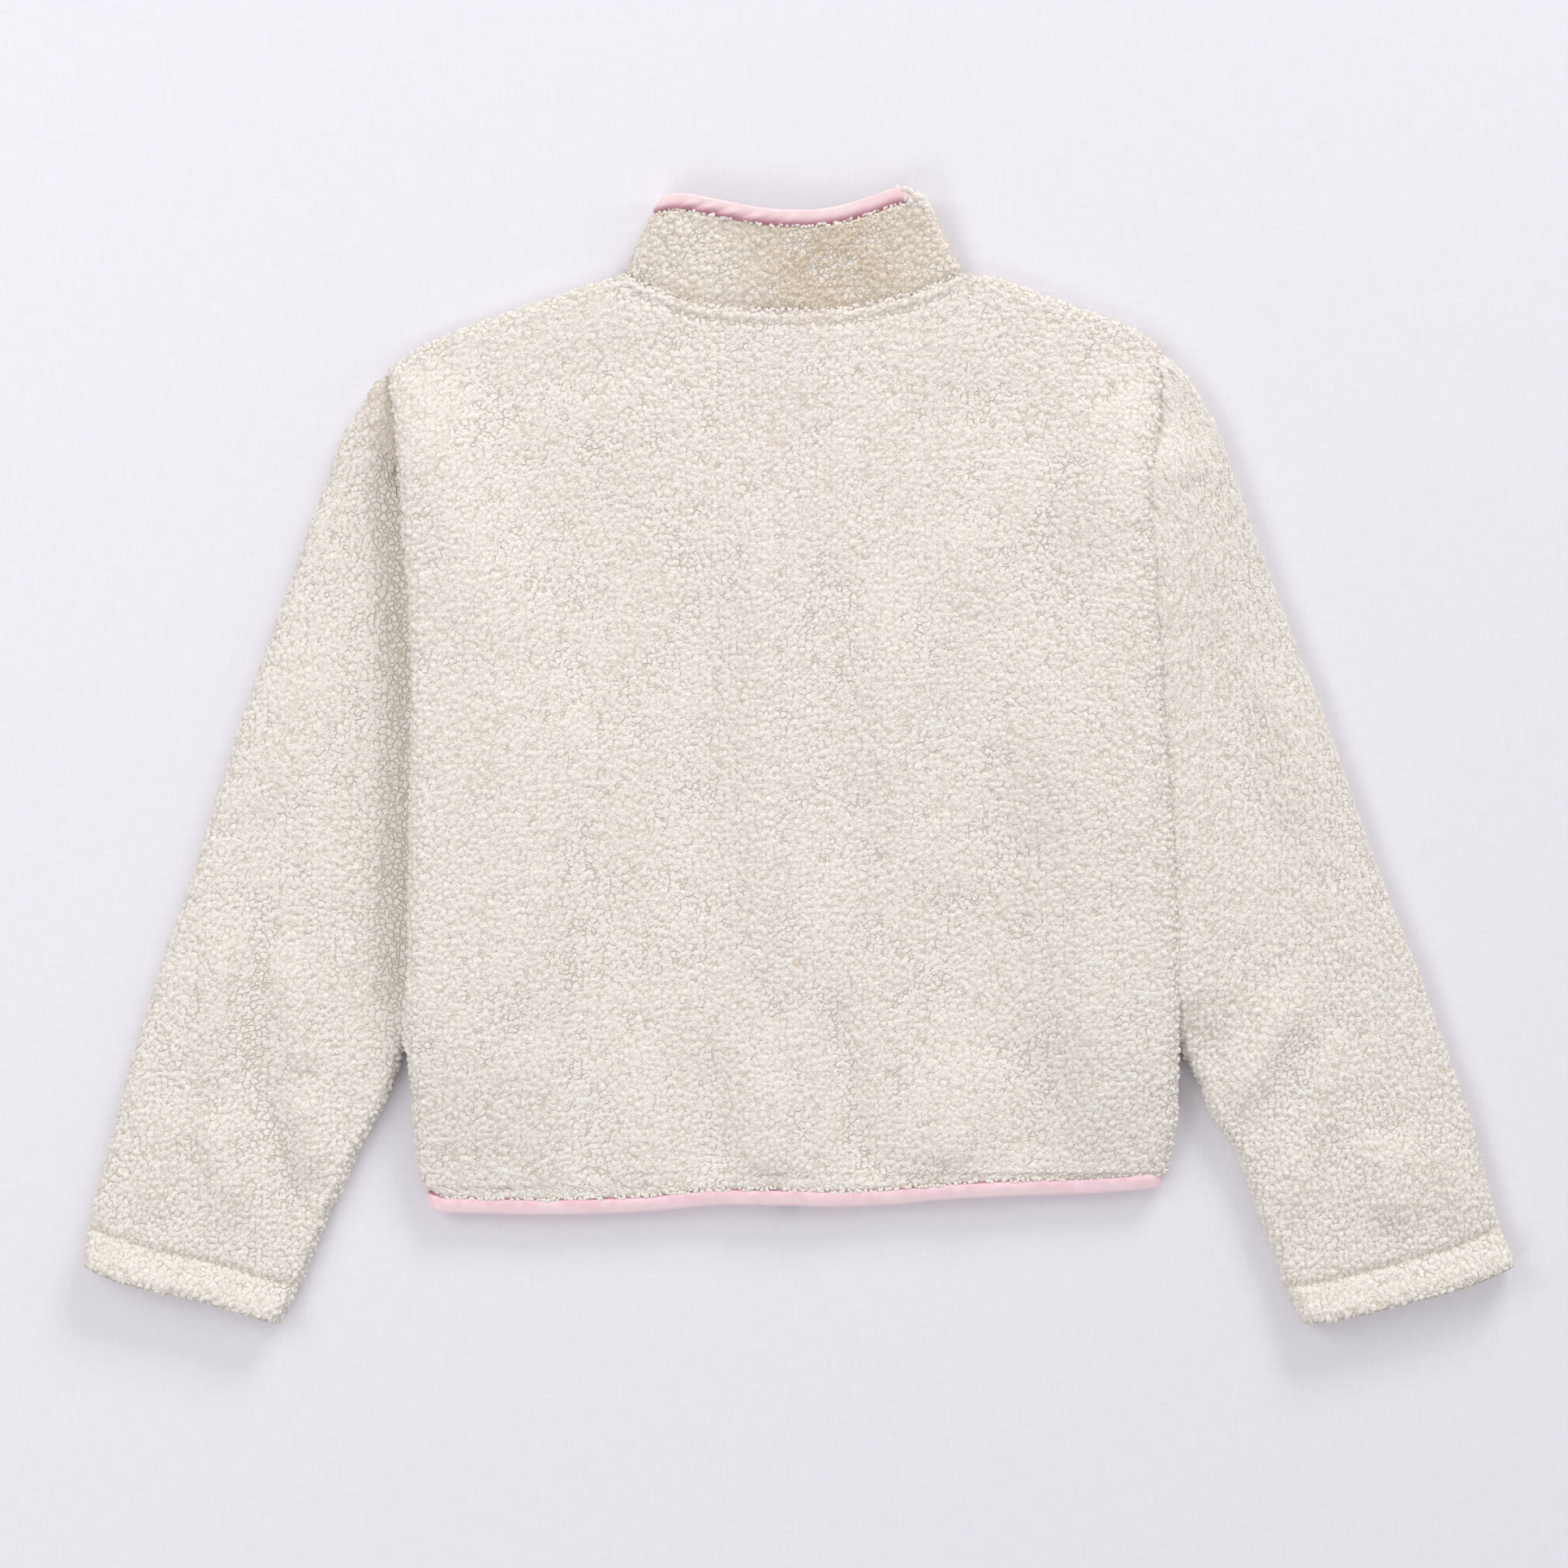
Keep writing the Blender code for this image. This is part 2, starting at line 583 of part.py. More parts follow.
def make_collar():
    """Stand collar round the neck: returns its top edge, and directions out of and up the cloth."""
    fold = np.radians([30.0, 60.0, 90.0, 120.0, 150.0])
    lower_left = front_stations(NECK_LEFT)[:1:-1]
    lower_right = front_stations(NECK_RIGHT)[2:]
    x = np.concatenate([
        lower_left, np.full(5, NECK_LEFT), BACK_STATIONS[1:-1], np.full(5, NECK_RIGHT), lower_right,
    ])
    turn = np.concatenate([
        np.full(len(lower_left), math.pi), fold[::-1], np.zeros(len(BACK_STATIONS) - 2), fold,
        np.full(len(lower_right), math.pi),
    ])
    side = np.where(x < ZIP_X, -1.0, 1.0)
    front = smooth((turn - math.pi / 2) / (math.pi / 2))
    share = np.array([0.0, 0.0, 0.28, 0.5, 0.7, 1.0, 1.0, 1.0])[:, None]
    offset = np.array([0.0, 2.5, 0.0, 0.0, 0.0, -FULL_DEPTH, -BOUND_DEPTH, 0.0])[:, None]
    table = through(COLLAR_TOP, x)
    back_seam = np.interp(x, BACK_STATIONS, back_top(BACK_STATIONS))
    back_seam[(x == NECK_LEFT) | (x == NECK_RIGHT)] = SEAM_CORNER
    front_seam = front_neck(x)
    seam_y = back_seam + (front_seam - back_seam) * front + SEAM_GAP
    slope = smooth(np.abs(x - ZIP_X) / (NECK_RIGHT - ZIP_X))
    front_edge = COLLAR_FRONT_TOP + (COLLAR_SIDE_TOP - COLLAR_FRONT_TOP) * slope
    edge_y = table[:, 1] + (front_edge - table[:, 1]) * front - BAND_REACH - SEAM_GAP
    height = (edge_y - seam_y)[None, :]
    crossing = x[None, :] + (share + offset / height) * (table[:, 0] - x)[None, :]
    flat_front = (turn == math.pi) & (np.abs(x - ZIP_X) < ZIP_OPENING + 1)
    crossing = np.where(flat_front[None, :], x[None, :], crossing)
    across_y = seam_y[None, :] + share * height + offset

    gap = layer_gap(crossing, ZIP_TOP + 0 * crossing)
    spacing = FLEECE + gap
    bound = smooth((edge_y - across_y - BOUND_DEPTH) / (FULL_DEPTH - BOUND_DEPTH))
    half = COLLAR_BOUND_HALF + (FLEECE / 2 - COLLAR_BOUND_HALF) * bound
    half[0] -= SEAM_DIP
    radius = spacing / 2
    sweep = np.sin(turn)[None, :]
    folded = sweep > 1e-6
    centre_x = crossing - side * (radius * (1 - sweep) + FLEECE / 2) * folded
    shift = side * COLLAR_SHIFT * (front > 0.99)
    centre_x = centre_x - np.where(flat_front[None, :], 0.0, shift[None, :])
    centre_z = FLEECE / 2 + radius * (1 + np.cos(turn)[None, :])
    normal_x = side * sweep
    normal_z = np.cos(turn)[None, :] + 0 * crossing
    outer = raised(centre_x + half * normal_x, across_y, centre_z + half * normal_z)
    inner = raised(centre_x - half * normal_x, across_y, centre_z - half * normal_z)
    walled("collar", outer, inner, CREAM, CLOTH_ROUGH)
    centre = raised(centre_x, across_y, centre_z)
    normal = raised((side * sweep)[0], 0 * x, np.cos(turn))
    return centre[-1], normal, (centre[-1] - centre[-2]) / BOUND_DEPTH


def make_binding(name, edge, normal, outward):
    """Satin folded over an edge of cloth: a narrow channel carried along the edge."""
    reach = BAND_WIDTH - BAND_REACH - SEAM_GAP
    # Place across the fold: out from the cloth's edge, up from its middle
    outside = np.array([
        (-reach, BAND_HALF), (0.9, 0.85 * BAND_HALF), (BAND_REACH, 0.0),
        (0.9, -0.85 * BAND_HALF), (-reach, -BAND_HALF),
    ])
    hollow = BOUND_HALF + SEAM_GAP
    inside = np.array([
        (-reach, hollow), (SEAM_GAP, hollow), (SEAM_GAP, 0.0),
        (SEAM_GAP, -hollow), (-reach, -hollow),
    ])
    grids = []
    for profile in (outside, inside):
        out, up = profile[:, 0][:, None, None], profile[:, 1][:, None, None]
        grids.append(edge[None] + out * outward[None] + up * normal[None])
    walled(name, grids[0], grids[1], PINK, SATIN_ROUGH)


def make_hem_binding(back, left, right):
    """The hem's binding, from one side of the zip under the front, round both sides and over the back."""
    turns = np.radians([30.0, 60.0, 90.0, 120.0, 150.0])
    path, normals, outwards = [], [], []

    def flat(lines, up):
        path.append(lines[0])
        normals.append(np.tile([0.0, 0.0, up], (len(lines[0]), 1)))
        outwards.append((lines[0] - lines[1]) / BOUND_DEPTH)

    def corner(low, high, side, angles):
        """Half a turn round the side seam between the lower and the upper layer."""
        centre, radius = (low + high) / 2, (high[2] - low[2]) / 2
        direction = raised(side * np.sin(angles), 0 * angles, np.cos(angles))
        place = centre + direction * radius
        reached = cloth_bottom(np.clip(place[:, 0] + side * BAND_HALF, HEM[0][0], HEM[-1][0]))
        place[:, 1] = np.clip(reached, place[:, 1], place[:, 1] + MOST_STEP_UP)
        path.append(place)
        normals.append(direction)
        outwards.append(np.tile([0.0, -1.0, 0.0], (len(angles), 1)))

    flat(left[:, ::-1], -1.0)
    corner(left[0, 0], back[0, 0], -1.0, turns[::-1])
    flat(back, 1.0)
    corner(right[0, -1], back[0, -1], 1.0, turns)
    flat(right[:, ::-1], -1.0)
    make_binding("hem_binding", np.concatenate(path), np.concatenate(normals), np.concatenate(outwards))


def box(name, low, high, colour, rough, metal=0.0, bevel=0.0):
    """A box between two corners, with its edges rounded."""
    low, high = np.array(low), np.array(high)
    bpy.ops.mesh.primitive_cube_add(size=1, location=tuple((low + high) / 2 * MM))
    piece = bpy.context.object
    piece.scale = tuple((high - low) * MM)
    bpy.ops.object.transform_apply(location=False, rotation=False, scale=True)
    piece.name = piece.data.name = name
    for collection in list(piece.users_collection):
        collection.objects.unlink(piece)
    JACKET.objects.link(piece)
    dress(piece, colour, rough, metal)
    if bevel:
        rounding = piece.modifiers.new("edges", "BEVEL")
        rounding.width = bevel * MM
        rounding.segments = 2
    return piece


def combine(piece, other, operation):
    """Joins or cuts a piece with another, which becomes a hidden helper."""
    step = piece.modifiers.new(operation.lower(), "BOOLEAN")
    step.operation = operation
    step.object = other
    other.hide_render = True
    other.display_type = "WIRE"
    JACKET.objects.unlink(other)
    HELPERS.objects.link(other)


def make_zip():
    """Tapes on the fronts' inner side, the closed chain between them, slider, pull and retainer."""
    tape_low = FLEECE + SEAM_GAP
    for name, hand in (("zip_tape_left", -1), ("zip_tape_right", 1)):
        sides = sorted((ZIP_X + hand * TAPE_INNER, ZIP_X + hand * TAPE_OUTER))
        low = (sides[0], ZIP_BOTTOM, tape_low)
        high = (sides[1], ZIP_TOP, tape_low + TAPE_THICK)
        box(name, low, high, TAPE_PINK, CLOTH_ROUGH)
    half = CHAIN_WIDTH / 2
    retainer_top = ZIP_BOTTOM + RETAINER_LENGTH
    post_y = SLIDER_Y + SLIDER_LENGTH / 2 - POST_LENGTH - 2 * SEAM_GAP
    box(
        "zip_chain",
        (ZIP_X - half, retainer_top + SEAM_GAP, CHAIN_Z - CHAIN_THICK / 2),
        (ZIP_X + half, post_y - SEAM_GAP, CHAIN_Z + CHAIN_THICK / 2),
        METAL, METAL_ROUGH, 1.0, 0.5,
    )
    box(
        "zip_retainer",
        (ZIP_X - TAPE_INNER + SEAM_GAP, ZIP_BOTTOM, CHAIN_Z - RETAINER_THICK / 2),
        (ZIP_X + TAPE_INNER - SEAM_GAP, retainer_top, CHAIN_Z + RETAINER_THICK / 2),
        METAL, METAL_ROUGH, 1.0, 0.6,
    )
    make_slider(post_y)
    make_pull()


def make_slider(post_y):
    """Two plates joined by a post at the upper end, with a bail on the outer plate for the pull."""
    half_width, half_length = SLIDER_WIDTH / 2, SLIDER_LENGTH / 2
    lower_face = CHAIN_Z - PLATE_GAP / 2
    upper_face = CHAIN_Z + PLATE_GAP / 2
    slider = box(
        "zip_slider",
        (ZIP_X - half_width, SLIDER_Y - half_length, lower_face - PLATE_THICK),
        (ZIP_X + half_width, SLIDER_Y + half_length, lower_face),
        METAL, METAL_ROUGH, 1.0,
    )
    inner_plate = box(
        "slider_inner_plate",
        (ZIP_X - half_width, SLIDER_Y - half_length, upper_face),
        (ZIP_X + half_width, SLIDER_Y + half_length, upper_face + PLATE_THICK),
        METAL, METAL_ROUGH, 1.0,
    )
    post = box(
        "slider_post",
        (ZIP_X - POST_WIDTH / 2, post_y, lower_face - PLATE_THICK / 2),
        (ZIP_X + POST_WIDTH / 2, post_y + POST_LENGTH, upper_face + PLATE_THICK / 2),
        METAL, METAL_ROUGH, 1.0,
    )
    bail_top = lower_face - PLATE_THICK / 2
    bail = box(
        "slider_bail",
        (ZIP_X - BAIL_WIDTH / 2, SLIDER_Y - BAIL_LENGTH / 2, bail_top - BAIL_DROP),
        (ZIP_X + BAIL_WIDTH / 2, SLIDER_Y + BAIL_LENGTH / 2, bail_top),
        METAL, METAL_ROUGH, 1.0,
    )
    hole = box(
        "bail_hole",
        (ZIP_X - BAIL_WIDTH, SLIDER_Y - BAIL_HOLE_LENGTH / 2, PIN_Z - BAIL_HOLE_HEIGHT / 2),
        (ZIP_X + BAIL_WIDTH, SLIDER_Y + BAIL_HOLE_LENGTH / 2, PIN_Z + BAIL_HOLE_HEIGHT / 2),
        METAL, METAL_ROUGH, 1.0,
    )
    combine(slider, post, "UNION")
    combine(slider, inner_plate, "UNION")
    combine(slider, bail, "UNION")
    combine(slider, hole, "DIFFERENCE")


def make_pull():
    """The pull: a flat tab whose window holds the bail, its origin on the hinge line."""
    half = PULL_THICK / 2
    pull = box(
        "zip_pull",
        (-PULL_WIDTH / 2, half - PULL_LENGTH, -half),
        (PULL_WIDTH / 2, half, half),
        METAL, METAL_ROUGH, 1.0,
    )
    window = box(
        "pull_window",
        (-PULL_WINDOW_WIDTH / 2, -half - PULL_WINDOW_LENGTH, -PULL_THICK),
        (PULL_WINDOW_WIDTH / 2, -half, PULL_THICK),
        METAL, METAL_ROUGH, 1.0,
    )
    for piece in (pull, window):
        piece.data.transform(piece.matrix_basis)
        piece.matrix_basis.identity()
    combine(pull, window, "DIFFERENCE")
    hinge = bpy.data.objects.new("pull_hinge", None)
    JACKET.objects.link(hinge)
    hinge.location = (ZIP_X * MM, SLIDER_Y * MM, PIN_Z * MM)
    hinge.rotation_euler = (PULL_TILT, 0.0, 0.0)
    pull.parent = hinge
    window.parent = hinge


for leftover in list(bpy.data.objects):
    bpy.data.objects.remove(leftover)
JACKET = bpy.data.collections.new("fleece_jacket")
HELPERS = bpy.data.collections.new("cutters")
bpy.context.scene.collection.children.link(JACKET)
bpy.context.scene.collection.children.link(HELPERS)

hem_of_back = make_back()
hem_of_left, hem_of_right = make_fronts()
make_sleeve("sleeve_left", -1, OUTER_LEFT, INNER_LEFT, CUFF_LEFT)
make_sleeve("sleeve_right", 1, OUTER_RIGHT, INNER_RIGHT, CUFF_RIGHT)
make_binding("collar_binding", *make_collar())
make_hem_binding(hem_of_back, hem_of_left, hem_of_right)
make_zip()
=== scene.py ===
"""Looks of a boxy curly-fleece jacket with a zipped front, laid flat on its front, back up.

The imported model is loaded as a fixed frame. Each panel gets a thin cloth shell on its
solid's form with a skin of curled pile over it, the edges get satin bindings, and the zip
its teeth, slider and tab. Sizes are in millimetres and turned into metres in new_mesh.
"""

from __future__ import annotations

import logging
import math
from collections.abc import Callable
from dataclasses import dataclass
from enum import Enum

import bpy
import numpy as np
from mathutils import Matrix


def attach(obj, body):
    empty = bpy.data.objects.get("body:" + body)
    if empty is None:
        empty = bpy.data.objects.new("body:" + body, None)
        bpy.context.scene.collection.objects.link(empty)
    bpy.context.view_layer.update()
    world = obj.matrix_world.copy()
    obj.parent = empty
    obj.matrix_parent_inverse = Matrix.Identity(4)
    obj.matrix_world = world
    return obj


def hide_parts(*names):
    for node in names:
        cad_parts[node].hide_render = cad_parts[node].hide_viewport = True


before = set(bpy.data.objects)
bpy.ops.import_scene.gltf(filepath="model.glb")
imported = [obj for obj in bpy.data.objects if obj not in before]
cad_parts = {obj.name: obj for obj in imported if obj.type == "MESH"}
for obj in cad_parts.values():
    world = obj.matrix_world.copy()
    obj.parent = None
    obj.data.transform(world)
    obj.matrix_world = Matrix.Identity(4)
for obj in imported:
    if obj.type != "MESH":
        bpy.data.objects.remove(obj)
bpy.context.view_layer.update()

MM = 0.001
GARMENT = "jacket"
TAB_BODY = "pull"
UP = np.array([0.0, 0.0, 1.0])
Rows = tuple[tuple[float, ...], ...]
Curve = Callable[[np.ndarray], np.ndarray]
LOG = logging.getLogger("fleece_jacket")


class Hand(Enum):
    """Which side of the jacket a piece is on, as seen from above."""

    LEFT = -1
    RIGHT = 1

    @property
    def index(self) -> int:
        """Where this side's value stands in a pair."""
        return (self.value + 1) // 2

    @property
    def label(self) -> str:
        """This side's word in the names of pieces."""
        return self.name.lower()


class Skin(Enum):
    """How a fleece piece shows its curls: raised in its mesh, or by shading alone."""

    PILE = "pile"
    CLOTH = "cloth"


# Shared curves


def ease(share: np.ndarray) -> np.ndarray:
    """An S-shaped step from 0 to 1: three times the square less twice the cube."""
    share = np.clip(share, 0.0, 1.0)
    return share * share * (3 - 2 * share)


def bell(distance: np.ndarray, reach: float) -> np.ndarray:
    """A bell curve: 1 at no distance, falling to e to the power of -1 at the reach."""
    return np.exp(-((distance / reach) ** 2))


def quarter_round(distance: np.ndarray, reach: float) -> np.ndarray:
    """A quarter of an oval: 0 at the edge, rising upright from it to 1 at the reach."""
    return np.sqrt(1 - (1 - np.clip(distance / reach, 0.0, 1.0)) ** 2)


def read_table(rows: Rows, at: np.ndarray) -> np.ndarray:
    """Read a short table as a smooth curve.

    Between two rows the value follows a cubic whose slope at each row is the mean of the
    slopes on both sides.

    Args:
        rows: each row is a place followed by one or more values.
        at: places to read at, held within the table's ends.

    Returns:
        The values, with one more axis where the table has several columns.
    """
    table = np.asarray(rows, float)
    knots, values = table[:, 0], table[:, 1:]
    slopes = np.gradient(values, knots, axis=0)
    at = np.clip(np.asarray(at, float), knots[0], knots[-1])
    low = np.clip(np.searchsorted(knots, at, side="right") - 1, 0, len(knots) - 2)
    span = (knots[low + 1] - knots[low])[..., None]
    t = (at - knots[low])[..., None] / span
    start = (2 * t**3 - 3 * t**2 + 1) * values[low] + (t**3 - 2 * t**2 + t) * span * slopes[low]
    end = (3 * t**2 - 2 * t**3) * values[low + 1] + (t**3 - t**2) * span * slopes[low + 1]
    result = start + end
    return result[..., 0] if values.shape[1] == 1 else result


def along_line(points: Rows, distance: np.ndarray) -> np.ndarray:
    """Points on the smooth curve through the given points.

    Args:
        points: the given points, each a place across and up the jacket.
        distance: distances along the line through them.

    Returns:
        A point for each distance.
    """
    line = np.asarray(points, float)
    run = np.concatenate([[0.0], np.cumsum(np.hypot(*np.diff(line, axis=0).T))])
    return read_table(np.column_stack([run, line]), distance)


def line_length(points: Rows) -> float:
    """Length of the line through these points."""
    return float(np.hypot(*np.diff(np.asarray(points, float), axis=0).T).sum())


def distances(line: np.ndarray) -> np.ndarray:
    """Distance along a line of points, from its first point to each."""
    return np.concatenate([[0.0], np.cumsum(np.linalg.norm(np.diff(line, axis=0), axis=1))])


def points_at(at: np.ndarray, run: np.ndarray, line: np.ndarray) -> np.ndarray:
    """Points or directions of a line at these distances along it."""
    return np.stack([np.interp(at, run, line[:, k]) for k in range(3)], axis=-1)


def unit(vectors: np.ndarray) -> np.ndarray:
    """The same directions at a length of one."""
    return vectors / np.maximum(np.linalg.norm(vectors, axis=-1, keepdims=True), 1e-9)


def soft_folds(folds: Rows, x: np.ndarray, y: np.ndarray) -> np.ndarray:
    """Height that fold lines add: a bell across each line that fades towards both ends.

    Args:
        folds: rows of x1, y1, x2, y2, reach to each side, height (below 0 for a trough).
        x: places across.
        y: places up the jacket.

    Returns:
        The summed height at each place.
    """
    height = np.zeros_like(x, float)
    for x1, y1, x2, y2, reach, rise in folds:
        run_x, run_y = x2 - x1, y2 - y1
        place = ((x - x1) * run_x + (y - y1) * run_y) / (run_x**2 + run_y**2)
        share = np.clip(place, 0, 1)
        off = np.hypot(x - x1 - share * run_x, y - y1 - share * run_y)
        fade = ease((place + 0.12) / 0.42) * ease((1.12 - place) / 0.42)
        height = height + rise * bell(off, reach) * fade
    return height


def spaced(start: float, stop: float, pitch: float) -> np.ndarray:
    """Even steps from start to stop, no wider than the pitch."""
    return np.linspace(start, stop, max(2, math.ceil(abs(stop - start) / pitch) + 1))


def scatter(corner: np.ndarray, seed: int) -> np.ndarray:
    """A number from 0 to 1 for each whole-number corner, mixed from its three coordinates.

    Args:
        corner: three whole numbers for each corner.
        seed: which set of numbers to give.

    Returns:
        One number for each corner.
    """
    whole = corner.astype(np.int64)
    mixed = whole[..., 0] * 73856093 ^ whole[..., 1] * 19349663 ^ whole[..., 2] * 83492791
    mixed = (mixed + seed * 2654435761) & 0xFFFFFFFF
    mixed = ((mixed ^ (mixed >> 15)) * 2246822519) & 0xFFFFFFFF
    mixed = ((mixed ^ (mixed >> 13)) * 3266489917) & 0xFFFFFFFF
    return ((mixed ^ (mixed >> 16)) & 0xFFFFFF) / float(0xFFFFFF)


def soft_noise(points: np.ndarray, size: float, seed: int) -> np.ndarray:
    """Slow unevenness: corner values of a lattice, eased between the corners.

    Args:
        points: places to give it for.
        size: spacing of the lattice.
        seed: which set of corner values to use.

    Returns:
        A number from -1 to 1 for each point.
    """
    place = points / size
    low = np.floor(place)
    share = ease(place - low)
    total = np.zeros(points.shape[:-1])
    for corner in np.ndindex(2, 2, 2):
        step = np.array(corner, float)
        weight = np.prod(np.where(step > 0, share, 1 - share), axis=-1)
        total = total + weight * scatter(low + step, seed)
    return total * 2 - 1


# Meshes


def stack(x: np.ndarray, y: np.ndarray, z: np.ndarray) -> np.ndarray:
    """Three coordinate grids as one grid of points."""
    return np.stack(np.broadcast_arrays(x, y, z), axis=-1).astype(float)


def grid_index(rows: int, columns: int, ring: bool = False) -> np.ndarray:
    """The number of each point in a grid, its first column once more at the end of a ring."""
    index = np.arange(rows * columns).reshape(rows, columns)
    return np.concatenate([index, index[:, :1]], axis=1) if ring else index


def faces_between(index: np.ndarray) -> np.ndarray:
    """Four-cornered faces between the points whose numbers stand in a grid."""
    corners = (index[:-1, :-1], index[:-1, 1:], index[1:, 1:], index[1:, :-1])
    return np.stack(corners, axis=-1).reshape(-1, 4)


def grid_normals(points: np.ndarray, ring: bool = False) -> np.ndarray:
    """Unit normals of a grid: the cross product of its two directions.

    Args:
        points: the grid.
        ring: whether its last column joins the first.

    Returns:
        A normal for each point, on whichever side the product gives.
    """
    if ring:
        wrapped = np.concatenate([points[:, -2:], points, points[:, :2]], axis=1)
        across = np.gradient(wrapped, axis=1)[:, 2:-2]
    else:
        across = np.gradient(points, axis=1)
    up = np.gradient(points, axis=0)
    return unit(np.cross(across, up))


def outward_normals(points: np.ndarray, outward: np.ndarray, ring: bool = False) -> np.ndarray:
    """A grid's unit normals, all turned to the side that outward points to."""
    normal = grid_normals(points, ring)
    return normal * np.sign((normal * outward).sum() + 1e-9)


def faced_out(points: np.ndarray, faces: np.ndarray) -> np.ndarray:
    """Turn the faces of a closed mesh outwards.

    Its signed volume is the sum of its corners' triple products, and is below 0 if its
    faces look inwards.

    Args:
        points: the mesh's points.
        faces: its four-cornered faces, all turned the same way.

    Returns:
        The faces, looking outwards.
    """
    a, b, c, d = (points[faces[:, i]] for i in range(4))
    first = np.einsum("ij,ij->i", a, np.cross(b, c))
    second = np.einsum("ij,ij->i", a, np.cross(c, d))
    return faces[:, ::-1] if float((first + second).sum() / 6) < 0 else faces


def new_mesh(
    name: str, points: np.ndarray, faces: np.ndarray, smooth: bool = True
) -> bpy.types.Object:
    """Make an object at the origin from points in millimetres and four-cornered faces.

    Args:
        name: the piece's name.
        points: one row of x, y and z for each point.
        faces: one row of four point numbers for each face.
        smooth: whether the surface is shaded smooth.

    Returns:
        The new object, linked to the scene.
    """
    mesh = bpy.data.meshes.new(name)
    mesh.vertices.add(len(points))
    mesh.vertices.foreach_set("co", (np.asarray(points) * MM).astype(np.float32).ravel())
    mesh.loops.add(faces.size)
    mesh.loops.foreach_set("vertex_index", faces.astype(np.int32).ravel())
    mesh.polygons.add(len(faces))
    mesh.polygons.foreach_set("loop_start", np.arange(0, faces.size, 4, dtype=np.int32))
    mesh.polygons.foreach_set("loop_total", np.full(len(faces), 4, np.int32))
    mesh.update(calc_edges=True)
    mesh.validate()
    mesh.polygons.foreach_set("use_smooth", np.full(len(mesh.polygons), smooth))
    piece = bpy.data.objects.new(name, mesh)
    bpy.context.scene.collection.objects.link(piece)
    return piece


def add_value(piece: bpy.types.Object, name: str, values: np.ndarray) -> None:
    """Store a number for each of a piece's points, for its material to read."""
    attribute = piece.data.attributes.new(name, "FLOAT", "POINT")
    attribute.data.foreach_set("value", np.asarray(values, np.float32).ravel())


def closed_wall(name: str, outer: np.ndarray, inner: np.ndarray, ring: bool = False) -> bpy.types.Object:
    """Make one closed wall between two matching grids, its faces turned outwards.

    Args:
        name: the piece's name.
        outer: grid of points on the wall's outer side.
        inner: the matching grid on its inner side.
        ring: whether the last column joins the first.

    Returns:
        The wall.
    """
    points = np.concatenate([outer.reshape(-1, 3), inner.reshape(-1, 3)])
    index = grid_index(*outer.shape[:2], ring)
    other = len(points) // 2
    face = faces_between(index)
    faces = [face, face[:, ::-1] + other]
    borders = [index[0], index[-1][::-1]]
    if not ring:
        borders += [index[::-1, 0], index[:, -1]]
    for border in borders:
        start, end = border[:-1], border[1:]
        faces.append(np.stack([end, start, start + other, end + other], axis=-1))
    return new_mesh(name, points, faced_out(points, np.concatenate(faces)))


def open_skin(name: str, points: np.ndarray, outward: np.ndarray, ring: bool = False) -> bpy.types.Object:
    """Make a one-sided skin from a grid of points.

    Args:
        name: the piece's name.
        points: the grid.
        outward: rough direction that its faces look to.
        ring: whether the last column joins the first.

    Returns:
        The skin.
    """
    faces = faces_between(grid_index(*points.shape[:2], ring))
    if float((grid_normals(points, ring) * outward).sum()) < 0:
        faces = faces[:, ::-1]
    return new_mesh(name, points.reshape(-1, 3), faces)


def joined_copies(
    shape: np.ndarray, faces: np.ndarray, moves: np.ndarray
) -> tuple[np.ndarray, np.ndarray]:
    """Repeat a small shape at many places as one mesh.

    Args:
        shape: points of one copy.
        faces: faces of one copy.
        moves: one 4 by 3 block for each copy, its three axes followed by its place.

    Returns:
        All points and all faces.
    """
    points = np.einsum("pk,nkj->npj", shape, moves[:, :3]) + moves[:, None, 3]
    offsets = (np.arange(len(moves)) * len(shape))[:, None, None]
    return points.reshape(-1, 3), (faces[None] + offsets).reshape(-1, 4)


def rounded_block(rows: int = 4, columns: int = 6) -> tuple[np.ndarray, np.ndarray]:
    """A small closed block with rounded sides, one unit long in each half axis.

    Each ring of points is a squared-off circle, wide as a root of the cosine of its latitude
    and high as a power of the sine, so the shape lies between a ball and a box.

    Args:
        rows: rings from end to end.
        columns: points in each ring.

    Returns:
        The block's points and faces.
    """
    latitude = np.linspace(-math.pi / 2 * 0.94, math.pi / 2 * 0.94, rows)[:, None]
    angle = (np.arange(columns) / columns * 2 * math.pi)[None, :]
    swell = np.sign(np.cos(latitude)) * np.abs(np.cos(latitude)) ** 0.5
    x = swell * np.sign(np.cos(angle)) * np.abs(np.cos(angle)) ** 0.6
    y = swell * np.sign(np.sin(angle)) * np.abs(np.sin(angle)) ** 0.6
    z = np.sign(np.sin(latitude)) * np.abs(np.sin(latitude)) ** 0.6 + 0 * angle
    points = stack(x, y, z).reshape(-1, 3)
    faces = faces_between(grid_index(rows, columns, ring=True))
    half = columns // 2
    caps = []
    for start, turn in ((0, -1), ((rows - 1) * columns, 1)):
        for k in range(half - 1):
            cap = [start + k, start + k + 1, start + columns - k - 2, start + columns - k - 1]
            caps.append(cap[::turn])
    return points, faced_out(points, np.concatenate([faces, np.array(caps)]))


# Finishes


